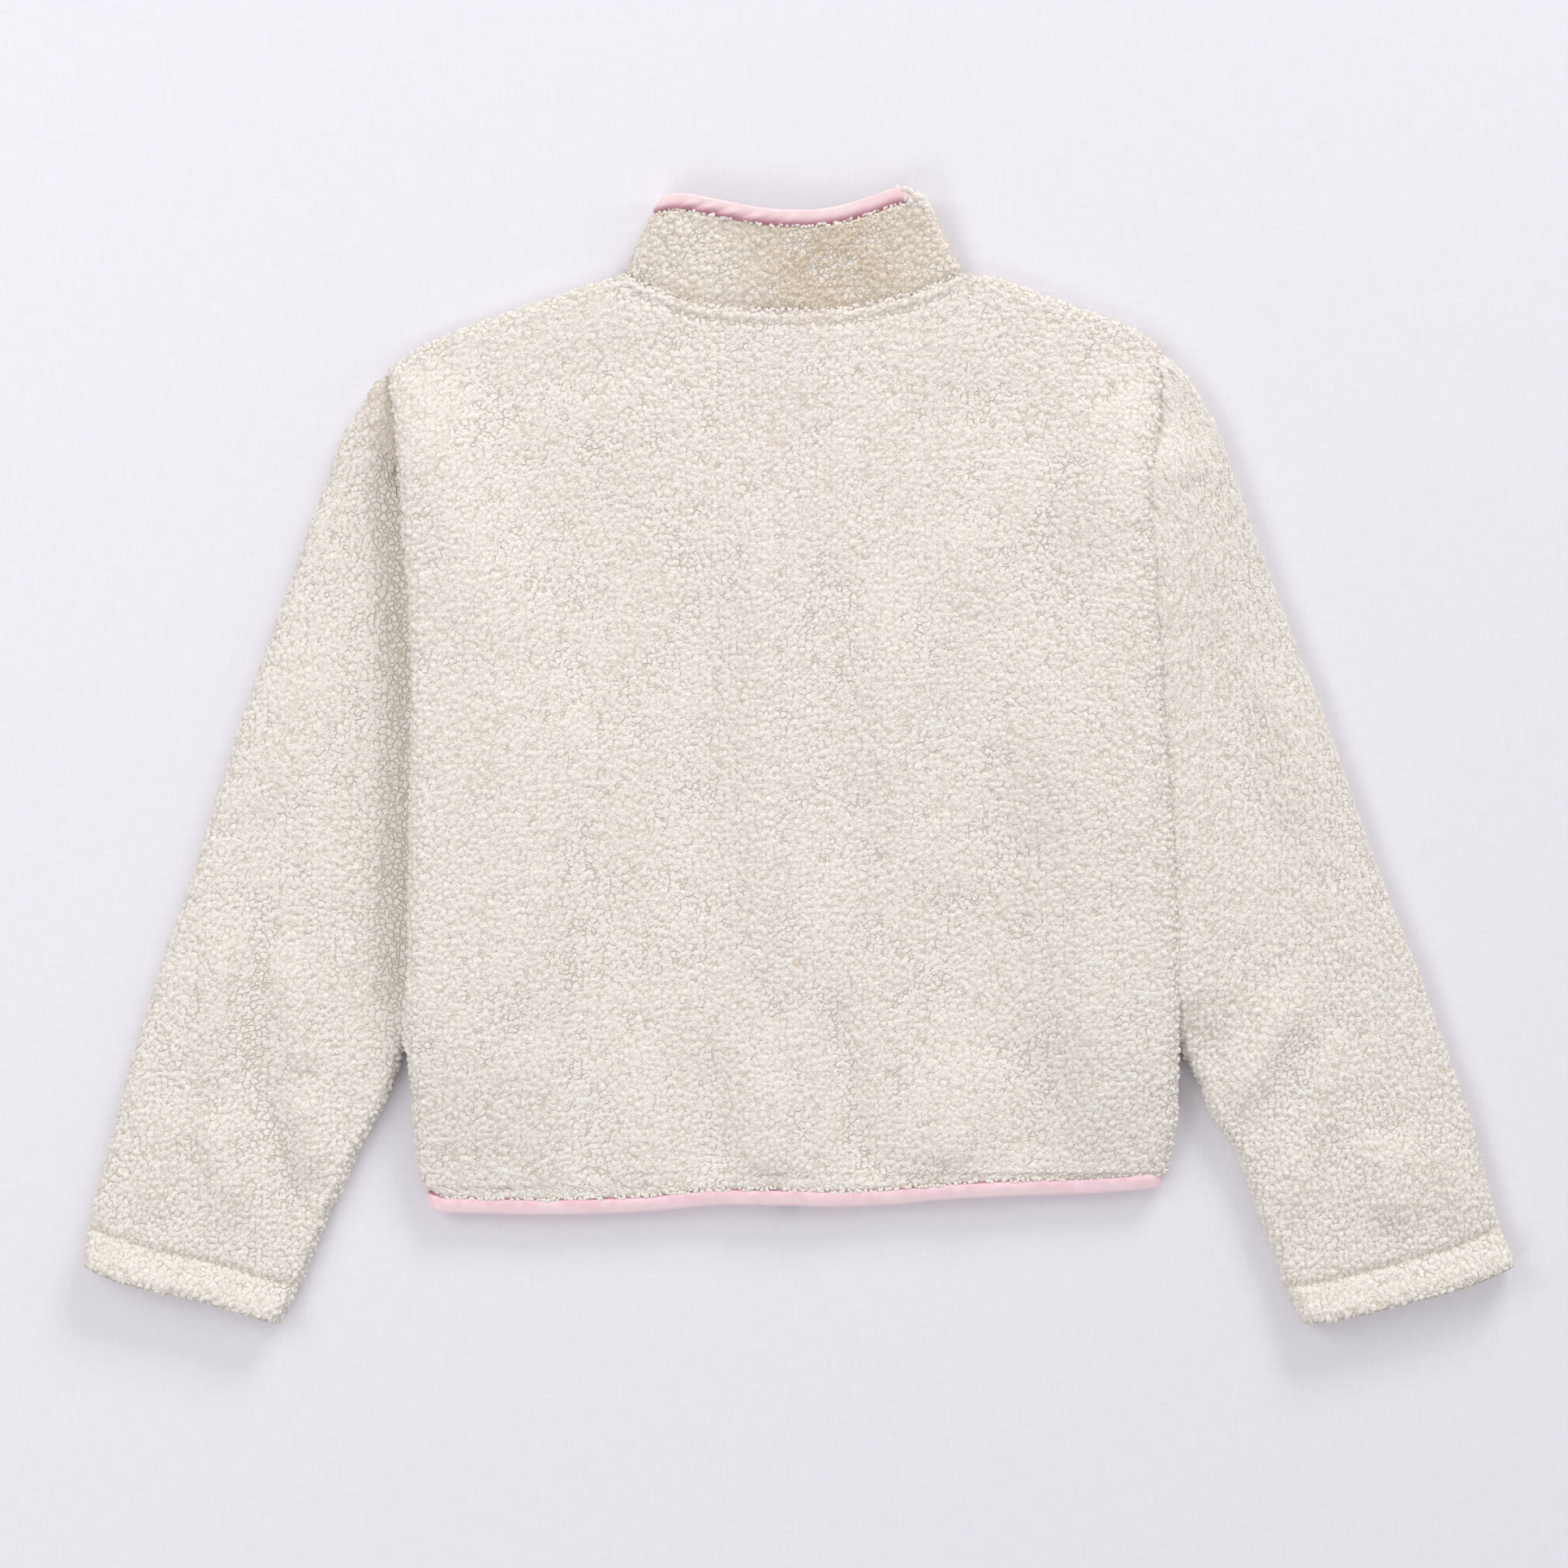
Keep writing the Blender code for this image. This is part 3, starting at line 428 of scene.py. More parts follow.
def node_group(
    name: str, inputs: dict[str, float], outputs: tuple[str, ...]
) -> bpy.types.NodeTree:
    """Start a shader node group with a Vector input and some numbers.

    Args:
        name: the group's name.
        inputs: names of its number inputs, with the value that each starts at.
        outputs: names of its number outputs.

    Returns:
        The group's empty tree.
    """
    tree = bpy.data.node_groups.new(name, "ShaderNodeTree")
    tree.interface.new_socket("Vector", in_out="INPUT", socket_type="NodeSocketVector")
    for label, value in inputs.items():
        socket = tree.interface.new_socket(label, in_out="INPUT", socket_type="NodeSocketFloat")
        socket.default_value = value
    for label in outputs:
        tree.interface.new_socket(label, in_out="OUTPUT", socket_type="NodeSocketFloat")
    return tree


@dataclass
class Graph:
    """A node tree being filled, with short ways to add and join its nodes."""

    tree: bpy.types.NodeTree

    def add(self, kind: str, settings: dict | None = None, **inputs: object) -> bpy.types.Node:
        """Add a node, set its options and its inputs, or join sockets to them.

        Args:
            kind: the node's type.
            settings: options set on the node itself.
            **inputs: values or sockets by input name, with _ for a space.

        Returns:
            The node.
        """
        node = self.tree.nodes.new(kind)
        for key, value in (settings or {}).items():
            setattr(node, key, value)
        self.set_inputs(node, **inputs)
        return node

    def set_inputs(self, node: bpy.types.Node, **inputs: object) -> None:
        """Set a node's inputs, or join sockets to them, by input name with _ for a space."""
        for key, value in inputs.items():
            self.feed(node.inputs[key.replace("_", " ")], value)

    def place(self) -> bpy.types.NodeSocket:
        """The place on the piece, in metres."""
        return self.add("ShaderNodeTexCoord").outputs["Object"]

    def stored(self, name: str) -> bpy.types.NodeSocket:
        """The number that a piece's points hold under this name."""
        return self.add("ShaderNodeAttribute", {"attribute_name": name}).outputs["Fac"]

    def relief(self, shader: bpy.types.Node, strength: float, depth: float, height: object) -> None:
        """Give a shader small relief from a height."""
        bump = self.add("ShaderNodeBump", Strength=strength, Distance=depth, Height=height)
        self.feed(shader.inputs["Normal"], bump.outputs["Normal"])

    def feed(self, socket: bpy.types.NodeSocket, value: object) -> None:
        """Set a socket to a value, or join another node's socket to it.

        Args:
            socket: the input.
            value: the value or the other socket.
        """
        if isinstance(value, bpy.types.NodeSocket):
            self.tree.links.new(value, socket)
        else:
            socket.default_value = value

    def math(self, operation: str, *values: object) -> bpy.types.NodeSocket:
        """One step of arithmetic.

        Args:
            operation: the math node's option.
            *values: numbers or sockets that it works on.

        Returns:
            The result's socket.
        """
        node = self.tree.nodes.new("ShaderNodeMath")
        node.operation = operation
        for socket, value in zip(node.inputs, values):
            self.feed(socket, value)
        return node.outputs[0]

    def ramp(
        self, value: object, low: float, high: float, start: float = 0.0, end: float = 1.0
    ) -> bpy.types.NodeSocket:
        """Turn one range into another, eased and held at both ends.

        Args:
            value: number or socket to turn.
            low: where the first range starts.
            high: where it ends.
            start: what low becomes.
            end: what high becomes.

        Returns:
            The result's socket.
        """
        node = self.add(
            "ShaderNodeMapRange", {"interpolation_type": "SMOOTHSTEP"},
            From_Min=low, From_Max=high, To_Min=start, To_Max=end, Value=value,
        )
        return node.outputs["Result"]

    def mix(self, factor: object, first: object, second: object) -> bpy.types.NodeSocket:
        """Mix two colours.

        Args:
            factor: share of the second colour, a number or a socket.
            first: one colour or socket.
            second: the other.

        Returns:
            The mixed colour's socket.
        """
        node = self.add("ShaderNodeMix", {"data_type": "RGBA"})
        for number, value in ((0, factor), (6, first), (7, second)):
            self.feed(node.inputs[number], value)
        return node.outputs[2]


def curl_group() -> bpy.types.NodeTree:
    """Curls of pile: a lump for each cell with rings of yarn round its middle, and glints.

    Returns:
        A group with these outputs. Lump: 1 on top of a curl and 0 between curls. Strand:
        yarn rings and loose fibre. Tone: a value for each curl. Glint: 1 on the few shining
        fibres, where the finish paints a highlight. Patch: slow unevenness over many curls.
    """
    tree = node_group(
        "Curls", {"Scale": 260.0, "Turns": 13.0}, ("Lump", "Strand", "Tone", "Glint", "Patch")
    )
    graph = Graph(tree)
    start = tree.nodes.new("NodeGroupInput")
    end = tree.nodes.new("NodeGroupOutput")
    vector, scale = start.outputs["Vector"], start.outputs["Scale"]
    wander = graph.add("ShaderNodeTexNoise", Vector=vector, Scale=420.0, Detail=1.0)
    push = graph.add("ShaderNodeVectorMath", {"operation": "SUBTRACT"})
    graph.feed(push.inputs[0], wander.outputs["Color"])
    push.inputs[1].default_value = (0.5, 0.5, 0.5)
    small = graph.add("ShaderNodeVectorMath", {"operation": "SCALE"}, Scale=0.0016)
    graph.feed(small.inputs[0], push.outputs[0])
    moved = graph.add("ShaderNodeVectorMath", {"operation": "ADD"})
    graph.feed(moved.inputs[0], vector)
    graph.feed(moved.inputs[1], small.outputs[0])
    moved = moved.outputs[0]
    cells = graph.add("ShaderNodeTexVoronoi", {"feature": "F1"}, Vector=moved, Scale=scale)
    distance = cells.outputs["Distance"]
    parts = graph.add("ShaderNodeSeparateColor", Color=cells.outputs["Color"])
    borders = graph.add(
        "ShaderNodeTexVoronoi", {"feature": "DISTANCE_TO_EDGE"}, Vector=moved, Scale=scale
    )
    lump = graph.ramp(borders.outputs["Distance"], 0.015, 0.17)
    begun = graph.math("MULTIPLY", parts.outputs[0], 6.3)
    turned = graph.math("MULTIPLY_ADD", distance, start.outputs["Turns"], begun)
    rings = graph.math("MULTIPLY_ADD", graph.math("SINE", turned), 0.5, 0.5)
    fibre = graph.add("ShaderNodeTexNoise", Vector=moved, Scale=1500.0, Detail=2.0, Roughness=0.6)
    loose = graph.math("MULTIPLY", fibre.outputs["Fac"], 0.6)
    strand = graph.math("MULTIPLY_ADD", rings, 0.55, loose)
    spots = graph.add("ShaderNodeTexNoise", Vector=vector, Scale=760.0, Detail=2.0, Roughness=0.7)
    few = graph.ramp(spots.outputs["Fac"], 0.57, 0.70)
    glint = graph.math("MULTIPLY", few, graph.ramp(rings, 0.35, 0.9))
    patch = graph.add("ShaderNodeTexNoise", Vector=vector, Scale=26.0, Detail=3.0, Roughness=0.55)
    graph.set_inputs(
        end, Lump=lump, Strand=strand, Tone=parts.outputs[1], Glint=glint, Patch=patch.outputs["Fac"]
    )
    return tree


def weave_group() -> bpy.types.NodeTree:
    """Woven threads: two crossed waves, and uneven streaks along one of them.

    Returns:
        A group with these outputs. Thread: height of the weave. Streak: slow variation
        along the threads.
    """
    tree = node_group("Weave", {"Scale": 2200.0, "Slant": 0.5}, ("Thread", "Streak"))
    graph = Graph(tree)
    start = tree.nodes.new("NodeGroupInput")
    end = tree.nodes.new("NodeGroupOutput")
    axes = graph.add("ShaderNodeSeparateXYZ", Vector=start.outputs["Vector"])
    x = graph.math("MULTIPLY", axes.outputs[0], start.outputs["Scale"])
    y = graph.math("MULTIPLY", axes.outputs[1], start.outputs["Scale"])
    slanted = graph.math("MULTIPLY_ADD", y, start.outputs["Slant"], x)
    crossed = graph.math("MULTIPLY", graph.math("SINE", slanted), graph.math("SINE", y))
    graph.feed(end.inputs["Thread"], graph.math("MULTIPLY_ADD", crossed, 0.5, 0.5))
    noise = graph.add("ShaderNodeTexNoise", Vector=start.outputs["Vector"], Scale=120.0, Detail=3.0)
    graph.feed(end.inputs["Streak"], noise.outputs["Fac"])
    return tree


def darker(colour: tuple[float, ...], share: float) -> tuple[float, ...]:
    """A colour at this share of its brightness."""
    return tuple(share * part for part in colour[:3]) + (1.0,)


@dataclass
class Workshop:
    """The shared node groups, made once."""

    curls: bpy.types.NodeTree
    weave: bpy.types.NodeTree

    @classmethod
    def open(cls) -> Workshop:
        """Make both groups."""
        return cls(curl_group(), weave_group())


def start_material(name: str) -> tuple[bpy.types.Material, Graph, bpy.types.Node]:
    """Start a material.

    Args:
        name: its name.

    Returns:
        The material, its graph and its Principled shader.
    """
    material = bpy.data.materials.new(name)
    material.use_nodes = True
    return material, Graph(material.node_tree), material.node_tree.nodes["Principled BSDF"]


@dataclass(frozen=True)
class FleeceFinish:
    """Cream curled pile, painted beige shade between curls, painted glints on a few shining fibres."""

    name: str = "curled_fleece"
    tip: tuple[float, ...] = (0.905, 0.838, 0.758, 1.0)
    # Painted shade: the colour between the curls and wherever they sit low
    between: tuple[float, ...] = (0.69, 0.588, 0.485, 1.0)
    cool: tuple[float, ...] = (0.875, 0.852, 0.815, 1.0)
    blush: tuple[float, ...] = (0.91, 0.82, 0.765, 1.0)
    tint: tuple[float, ...] = (0.92, 0.79, 0.80, 1.0)
    strand: tuple[float, ...] = (0.96, 0.932, 0.865, 1.0)
    # Painted highlight, mixed in on the few fibres that glint
    glint: tuple[float, ...] = (1.0, 0.98, 0.93, 1.0)
    tint_place: float = -0.006
    tint_width: float = 0.030
    tint_share: float = 0.30
    skin: Skin = Skin.PILE

    def make(self, shop: Workshop) -> bpy.types.Material:
        """Build the material.

        Args:
            shop: the shared node groups.

        Returns:
            The material.
        """
        material, graph, shader = start_material(f"{self.name}_{self.skin.value}")
        place = graph.place()
        curls = graph.add("ShaderNodeGroup", {"node_tree": shop.curls}, Vector=place)
        lump, strand, shade = curls.outputs["Lump"], curls.outputs["Strand"], curls.outputs["Tone"]
        if self.skin is Skin.PILE:
            raised, shade = graph.stored("curl"), graph.stored("tone")
            lump = graph.math("MULTIPLY_ADD", raised, 0.72, graph.math("MULTIPLY", lump, 0.27))
        # Painted shade: the colour goes to the between colour where the curls sit low, and where a piece
        # lowered its stored curl value
        depth = graph.ramp(graph.math("MULTIPLY_ADD", strand, 0.35, lump), 0.12, 0.85)
        tone = graph.mix(graph.ramp(shade, 0.35, 0.95, 0.0, 0.45), self.tip, self.cool)
        patch = graph.ramp(curls.outputs["Patch"], 0.45, 0.72, 0.0, 0.45)
        tone = graph.mix(patch, tone, self.blush)
        across = graph.add("ShaderNodeSeparateXYZ", Vector=place).outputs[0]
        off = graph.math("ABSOLUTE", graph.math("SUBTRACT", across, self.tint_place))
        tinted = graph.ramp(off, 0.0, self.tint_width, self.tint_share, 0.0)
        tone = graph.mix(tinted, tone, self.tint)
        tone = graph.mix(graph.ramp(strand, 0.35, 0.95, 0.0, 0.65), tone, self.strand)
        colour = graph.mix(depth, self.between, tone)
        # Painted highlight: the few glint spots are whitened in the colour, and are also less rough
        glint = curls.outputs["Glint"]
        colour = graph.mix(graph.math("MULTIPLY", glint, 0.8), colour, self.glint)
        graph.set_inputs(
            shader, Base_Color=colour, Roughness=graph.ramp(glint, 0.0, 1.0, 0.92, 0.38),
            Sheen_Weight=0.34, Sheen_Roughness=0.55, Specular_IOR_Level=0.28,
        )
        height = strand
        if self.skin is Skin.CLOTH:
            height = graph.math("MULTIPLY_ADD", curls.outputs["Lump"], 1.6, strand)
        graph.relief(shader, 0.7, 0.0007, height)
        return material


@dataclass(frozen=True)
class SatinFinish:
    """Pink satin with a fine slanted weave, a soft shine and painted highlight and shade."""

    name: str = "pink_satin"
    colour: tuple[float, ...] = (0.93, 0.60, 0.665, 1.0)
    pale: tuple[float, ...] = (0.97, 0.71, 0.76, 1.0)
    # ditch: painted shade along the seam; shine: painted highlight near the rounded edge
    ditch: tuple[float, ...] = (0.50, 0.19, 0.28, 1.0)
    shine: tuple[float, ...] = (0.955, 0.815, 0.825, 1.0)

    def make(self, shop: Workshop) -> bpy.types.Material:
        """Build the material.

        Args:
            shop: the shared node groups.

        Returns:
            The material.
        """
        material, graph, shader = start_material(self.name)
        place = graph.place()
        weave = graph.add("ShaderNodeGroup", {"node_tree": shop.weave}, Vector=place, Scale=9000.0)
        colour = graph.mix(graph.ramp(weave.outputs["Streak"], 0.35, 0.7), self.colour, self.pale)
        # Painted highlight near the rounded edge, and painted shade in the seam's ditch, both read from
        # stored values
        colour = graph.mix(graph.stored("roll_highlight"), colour, self.shine)
        graph.set_inputs(
            shader, Base_Color=graph.mix(graph.stored("seam"), colour, self.ditch),
            Roughness=graph.ramp(weave.outputs["Streak"], 0.3, 0.7, 0.32, 0.42),
            Sheen_Weight=0.35, Sheen_Roughness=0.35, Specular_IOR_Level=0.9,
        )
        graph.relief(shader, 0.18, 0.0001, weave.outputs["Thread"])
        return material


@dataclass(frozen=True)
class TapeFinish:
    """Woven zip tape, or thread in the same yarn."""

    name: str
    colour: tuple[float, ...]
    scale: float = 4200.0
    rough: float = 0.85

    def make(self, shop: Workshop) -> bpy.types.Material:
        """Build the material.

        Args:
            shop: the shared node groups.

        Returns:
            The material.
        """
        material, graph, shader = start_material(self.name)
        place = graph.place()
        weave = graph.add("ShaderNodeGroup", {"node_tree": shop.weave}, Vector=place, Scale=self.scale)
        thread = weave.outputs["Thread"]
        colour = graph.mix(thread, darker(self.colour, 0.72), self.colour)
        graph.set_inputs(shader, Base_Color=colour, Roughness=self.rough, Sheen_Weight=0.2)
        graph.relief(shader, 0.6, 0.0002, thread)
        return material


@dataclass(frozen=True)
class MetalFinish:
    """Pale metal of the zip, brushed along its length and a little worn."""

    name: str = "zip_metal"
    colour: tuple[float, ...] = (0.78, 0.76, 0.72, 1.0)
    worn: tuple[float, ...] = (0.60, 0.57, 0.53, 1.0)

    def make(self, shop: Workshop) -> bpy.types.Material:
        """Build the material.

        Args:
            shop: the shared node groups.

        Returns:
            The material.
        """
        material, graph, shader = start_material(self.name)
        place = graph.place()
        stretched = graph.add("ShaderNodeMapping", Vector=place, Scale=(2400.0, 160.0, 2400.0))
        brushed = graph.add("ShaderNodeTexNoise", Vector=stretched.outputs[0], Scale=1.0, Detail=3.0)
        weave = graph.add("ShaderNodeGroup", {"node_tree": shop.weave}, Vector=place, Scale=900.0)
        colour = graph.mix(graph.ramp(weave.outputs["Streak"], 0.4, 0.75), self.colour, self.worn)
        rough = graph.ramp(brushed.outputs["Fac"], 0.3, 0.7, 0.24, 0.42)
        graph.set_inputs(shader, Base_Color=colour, Metallic=1.0, Roughness=rough)
        graph.relief(shader, 0.2, 0.0001, brushed.outputs["Fac"])
        return material


@dataclass
class Finishes:
    """Every finish of the jacket, made once."""

    pile: bpy.types.Material
    cloth: bpy.types.Material
    collar: bpy.types.Material
    satin: bpy.types.Material
    collar_satin: bpy.types.Material
    tape: bpy.types.Material
    pink_thread: bpy.types.Material
    cream_thread: bpy.types.Material
    metal: bpy.types.Material

    @classmethod
    def make(cls, shop: Workshop) -> Finishes:
        """Build all the materials.

        Args:
            shop: the shared node groups.

        Returns:
            The set of materials.
        """
        return cls(
            pile=FleeceFinish().make(shop),
            cloth=FleeceFinish(skin=Skin.CLOTH).make(shop),
            # Painted shade: a darker, warmer copy of the fleece, darkest a little right of the middle and
            # fading towards both ends
            collar=FleeceFinish(
                "shaded_collar_fleece", tip=(0.885, 0.775, 0.64, 1.0), between=(0.69, 0.58, 0.46, 1.0),
                tint=(0.62, 0.465, 0.30, 1.0), tint_place=0.020, tint_width=0.080, tint_share=0.9,
            ).make(shop),
            satin=SatinFinish().make(shop),
            # Painted shade: a darker, warmer copy of the hem's satin, with its own painted highlight and
            # ditch shade
            collar_satin=SatinFinish(
                "shaded_pink_collar_satin", (0.87, 0.56, 0.60, 1.0), (0.91, 0.66, 0.68, 1.0),
                (0.50, 0.19, 0.26, 1.0), (0.91, 0.76, 0.74, 1.0),
            ).make(shop),
            tape=TapeFinish("pink_tape", (0.82, 0.46, 0.54, 1.0)).make(shop),
            pink_thread=TapeFinish("pink_thread", (0.76, 0.38, 0.47, 1.0)).make(shop),
            cream_thread=TapeFinish("cream_thread", (0.74, 0.68, 0.58, 1.0)).make(shop),
            metal=MetalFinish().make(shop),
        )


def settle(
    piece: bpy.types.Object, material: bpy.types.Material,
    nodes: tuple[str, ...] = (), body: str = GARMENT,
) -> bpy.types.Object:
    """Give a piece its material and its place in the frame.

    Args:
        piece: the piece.
        material: its finish.
        nodes: the CAD nodes that it stands for.
        body: the body that it moves with.

    Returns:
        The piece.
    """
    piece.data.materials.clear()
    piece.data.materials.append(material)
    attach(piece, body)
    if nodes:
        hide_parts(*nodes)
    LOG.info("%s: %d triangles", piece.name, 2 * len(piece.data.polygons))
    return piece


def pile_skin(
    name: str, points: np.ndarray, outward: np.ndarray, curl: np.ndarray, tone: np.ndarray,
    material: bpy.types.Material, ring: bool = False,
) -> bpy.types.Object:
    """Make a skin of raised pile, with its values and its finish.

    Args:
        name: the piece's name.
        points: grid of raised points.
        outward: rough outward direction.
        curl: height of the curls at each point, from 0 to 1, lowered where shade is painted.
        tone: the curls' tone at each point.
        material: its finish.
        ring: whether the last column joins the first.

    Returns:
        The piece.
    """
    piece = open_skin(name, points, outward, ring)
    add_value(piece, "curl", curl)
    add_value(piece, "tone", tone)
    return settle(piece, material)


# The jacket's own sizes


@dataclass
class Layout:
    """Outlines and heights that all the panels share."""

    fleece: float = 6.0
    seam_gap: float = 0.3
    seam_edge: float = 1.2
    edge_round: float = 7.0
    layer_space: float = 0.6
    widest_space: float = 3.8
    armhole_gap: float = 1.1
    band_width: float = 9.8
    bound_depth: float = 8.4
    full_depth: float = 10.8
    band_wall: float = 1.0
    bound_half: float = 1.7
    collar_bound_half: float = 1.2
    corner_inset: float = 10.0
    zip_x: float = -6.0
    zip_opening: float = 6.0
    zip_top: float = 284.0
    neck_left: float = -108.0
    neck_right: float = 100.5
    seam_corner: float = 298.0
    front_neck_drop: float = 76.0
    neck_ridge: float = 9.5
    neck_groove: float = 1.3
    hem_level: float = -252.0
    rise_fall: float = 62.0
    tuck_room: float = 8.0
    underarm: float = -5.0
    # Lowest and highest place of the panels' sides, and where the armhole seams start to lie flush
    low_y: float = -275.0
    high_y: float = 280.0
    flush_from: tuple[float, float] = (214.0, 176.0)
    zip_room: float = 2.1
    slider_room: float = 1.1
    sleeve_under: float = 40.0
    # Height up the jacket, place across
    left_side: Rows = (
        (-282, -230), (-270, -232), (-262, -233.5), (-234, -237.5), (-189, -240),
        (-179, -242.5), (-134, -240), (-34, -238.5), (66, -237.5), (127, -241.5),
        (166, -245), (199, -247), (226, -251), (238, -252),
    )
    right_side: Rows = (
        (-282, 225), (-266, 226), (-254, 227.5), (-224, 232.5), (-179, 232.5),
        (-109, 231), (-34, 227.5), (16, 223.5), (66, 220), (116, 217.5),
        (156, 216), (185, 218.2), (211, 220.4), (228, 221.8), (250, 223),
    )
    # Place across, height up the jacket
    left_shoulder: Rows = (
        (-252, 238), (-244, 245.5), (-233, 252.5), (-207, 264.5), (-172, 276.5),
        (-136, 288.5), (-108, 298),
    )
    back_neck: Rows = (
        (-108, 298), (-101.5, 294), (-82.5, 286.5), (-58.5, 279), (-27, 275.5), (-3, 275),
        (29, 276.5), (53, 281.5), (77, 288), (91, 294), (100.5, 298),
    )
    right_shoulder: Rows = (
        (100.5, 298), (125, 294), (156, 282.5), (190, 270.5), (210, 261.5),
        (218, 255.5), (223, 250),
    )
    hem: Rows = (
        (-233, -274.5), (-229, -278.5), (-222, -281.3), (-210, -281.8), (-102.5, -281.5),
        (-42.5, -276.8), (-12.5, -277), (29, -278), (54, -277), (87, -273.8),
        (128.5, -271.5), (186.5, -269.5), (227.5, -266),
    )
    # Height up the jacket, rise of the body over the left and the right sleeve
    rise: Rows = (
        (-282, 0, 0), (-270, 0.2, 0.2), (-255, 1.4, 1.4), (-232, 4.4, 4.4), (-205, 8.2, 8.2),
        (-178, 11.4, 11.4), (-150, 13.3, 13.3), (-120, 13.7, 13.7), (130, 13.7, 13.7), (155, 13.6, 13.0),
        (180, 12.6, 10.2), (205, 9.6, 6.0), (225, 6.2, 2.4), (240, 4.2, 0.8), (252, 3.2, 0),
    )
    # Height up the jacket, width of the left and the right sleeve under the body
    tuck: Rows = (
        (-282, 0, 0), (-195, 0, 0), (-178, 1, 1), (-150, 13, 12), (-110, 27, 26),
        (-60, 40, 40), (-5, 45, 45), (50, 38, 35), (100, 24, 17), (135, 12, 4),
        (152, 6.5, 0), (180, 0, 0), (255, 0, 0),
    )
    # Folds that the solids have too: x1, y1, x2, y2, reach, height
    main_folds: Rows = (
        (-33, 160, -33, -84, 16, 1.9),
        (52, 85, 54, -25, 18, 1.7),
        (-154, -20, -156, -262, 18, 2.3),
        (-22, -140, -8, -270, 24, 2.9),
        (112, -185, 106, -262, 22, 2.6),
        (178, -150, 190, -250, 16, 1.6),
        (-90, -110, -96, -262, 15, 1.4),
        (101, 145, 100, 92, 26, 1.6),
        (-222, 215, -205, 60, 15, 1.7),
        (205, 225, 192, 120, 14, 1.3),
        (-200, -150, -212, -250, 13, 1.3),
    )

    @property
    def band_half(self) -> float:
        """Half the thickness of a bound edge."""
        return self.bound_half + self.seam_gap + self.band_wall

    @property
    def band_reach(self) -> float:
        """How far a binding stands out past its cloth."""
        return self.band_wall + self.seam_gap

    def side(self, hand: Hand, y: np.ndarray) -> np.ndarray:
        """Place across of the body's left or right side, at these heights up the jacket."""
        return read_table(self.left_side if hand is Hand.LEFT else self.right_side, y)

    def lift(self, x: np.ndarray, y: np.ndarray) -> np.ndarray:
        """Height of the body's underside, raised along both sides by the sleeve below it.

        Args:
            x: places across.
            y: places up the jacket.

        Returns:
            The height at each place.
        """
        rise = np.maximum(read_table(self.rise, y), 0.0)
        tuck = np.maximum(read_table(self.tuck, y), 0.0)
        under = self.sleeve_under * (1 - ease((y + 60) / 70))
        from_left = x - self.side(Hand.LEFT, y) - np.maximum(tuck[..., 0], under) - self.tuck_room
        from_right = self.side(Hand.RIGHT, y) - x - np.maximum(tuck[..., 1], under) - self.tuck_room
        left = rise[..., 0] * (1 - ease(from_left / self.rise_fall))
        right = rise[..., 1] * (1 - ease(from_right / self.rise_fall))
        return np.maximum(left, right)

    def space(self, x: np.ndarray, y: np.ndarray) -> np.ndarray:
        """Space between fronts and back: room for the zip, and under each main fold.

        Args:
            x: places across.
            y: places up the jacket.

        Returns:
            The space at each place.
        """
        room = self.zip_room + self.slider_room * ease((y - 190) / 50)
        room = room * (1 - ease((np.abs(x - self.zip_x) - 20) / 26))
        folds = soft_folds(self.main_folds, x, np.maximum(y, self.hem_level))
        space = self.layer_space + np.maximum(room, folds)
        return np.clip(space, self.layer_space, self.widest_space)

    def middle_of_hem(self, x: np.ndarray) -> np.ndarray:
        """Height of the back's middle where the hem binding holds it."""
        return self.fleece * 1.5 + self.space(x, self.hem_level + 0 * x)

    def cloth_bottom(self, x: np.ndarray) -> np.ndarray:
        """Lower edge of the fleece, inside the hem binding."""
        return read_table(self.hem, x) + self.band_reach + self.seam_gap

    def out_of_hem(self, x: np.ndarray, y: np.ndarray) -> np.ndarray:
        """0 inside the hem binding and 1 just above it."""
        above = y - self.cloth_bottom(x)
        return ease((above - self.bound_depth - 0.1) / (self.full_depth - self.bound_depth - 0.2))

    def left_edge(self, y: np.ndarray) -> np.ndarray:
        """Left edge of the body's cloth, drawn in where the hem binding covers it."""
        side = self.side(Hand.LEFT, y)
        return side + self.corner_inset * (1 - self.out_of_hem(side, y + 2.2))

    def right_edge(self, y: np.ndarray) -> np.ndarray:
        """Right edge of the body's cloth, drawn in the same way."""
        side = self.side(Hand.RIGHT, y)
        return side - self.corner_inset * (1 - self.out_of_hem(side, y + 2.2))

    def from_side(self, x: np.ndarray, y: np.ndarray) -> np.ndarray:
        """Distance in from the nearer side of the body's cloth."""
        return np.minimum(x - self.left_edge(y), self.right_edge(y) - x)

    def shoulder(self, x: np.ndarray) -> np.ndarray:
        """Height of the shoulder seams."""
        left = read_table(self.left_shoulder, x)
        return np.where(x < 0, left, read_table(self.right_shoulder, x))

    def on_neck(self, x: np.ndarray) -> np.ndarray:
        """Whether a place across is within the neck."""
        return (x > self.neck_left) & (x < self.neck_right)

    def back_top(self, x: np.ndarray) -> np.ndarray:
        """Top edge of the back: shoulders and back neck seam."""
        return np.where(self.on_neck(x), read_table(self.back_neck, x), self.shoulder(x))

    def front_neck(self, x: np.ndarray) -> np.ndarray:
        """Neck seam of the fronts: two quarters of an oval, down to the zip.

        Args:
            x: places across.

        Returns:
            The seam's height up the jacket.
        """
        half_left = self.zip_x - self.zip_opening - self.neck_left
        half_right = self.neck_right - self.zip_x - self.zip_opening
        left = (x - self.neck_left) / half_left
        share = np.where(x < self.zip_x, left, (self.neck_right - x) / half_right)
        return self.seam_corner - self.front_neck_drop * quarter_round(share, 1.0)

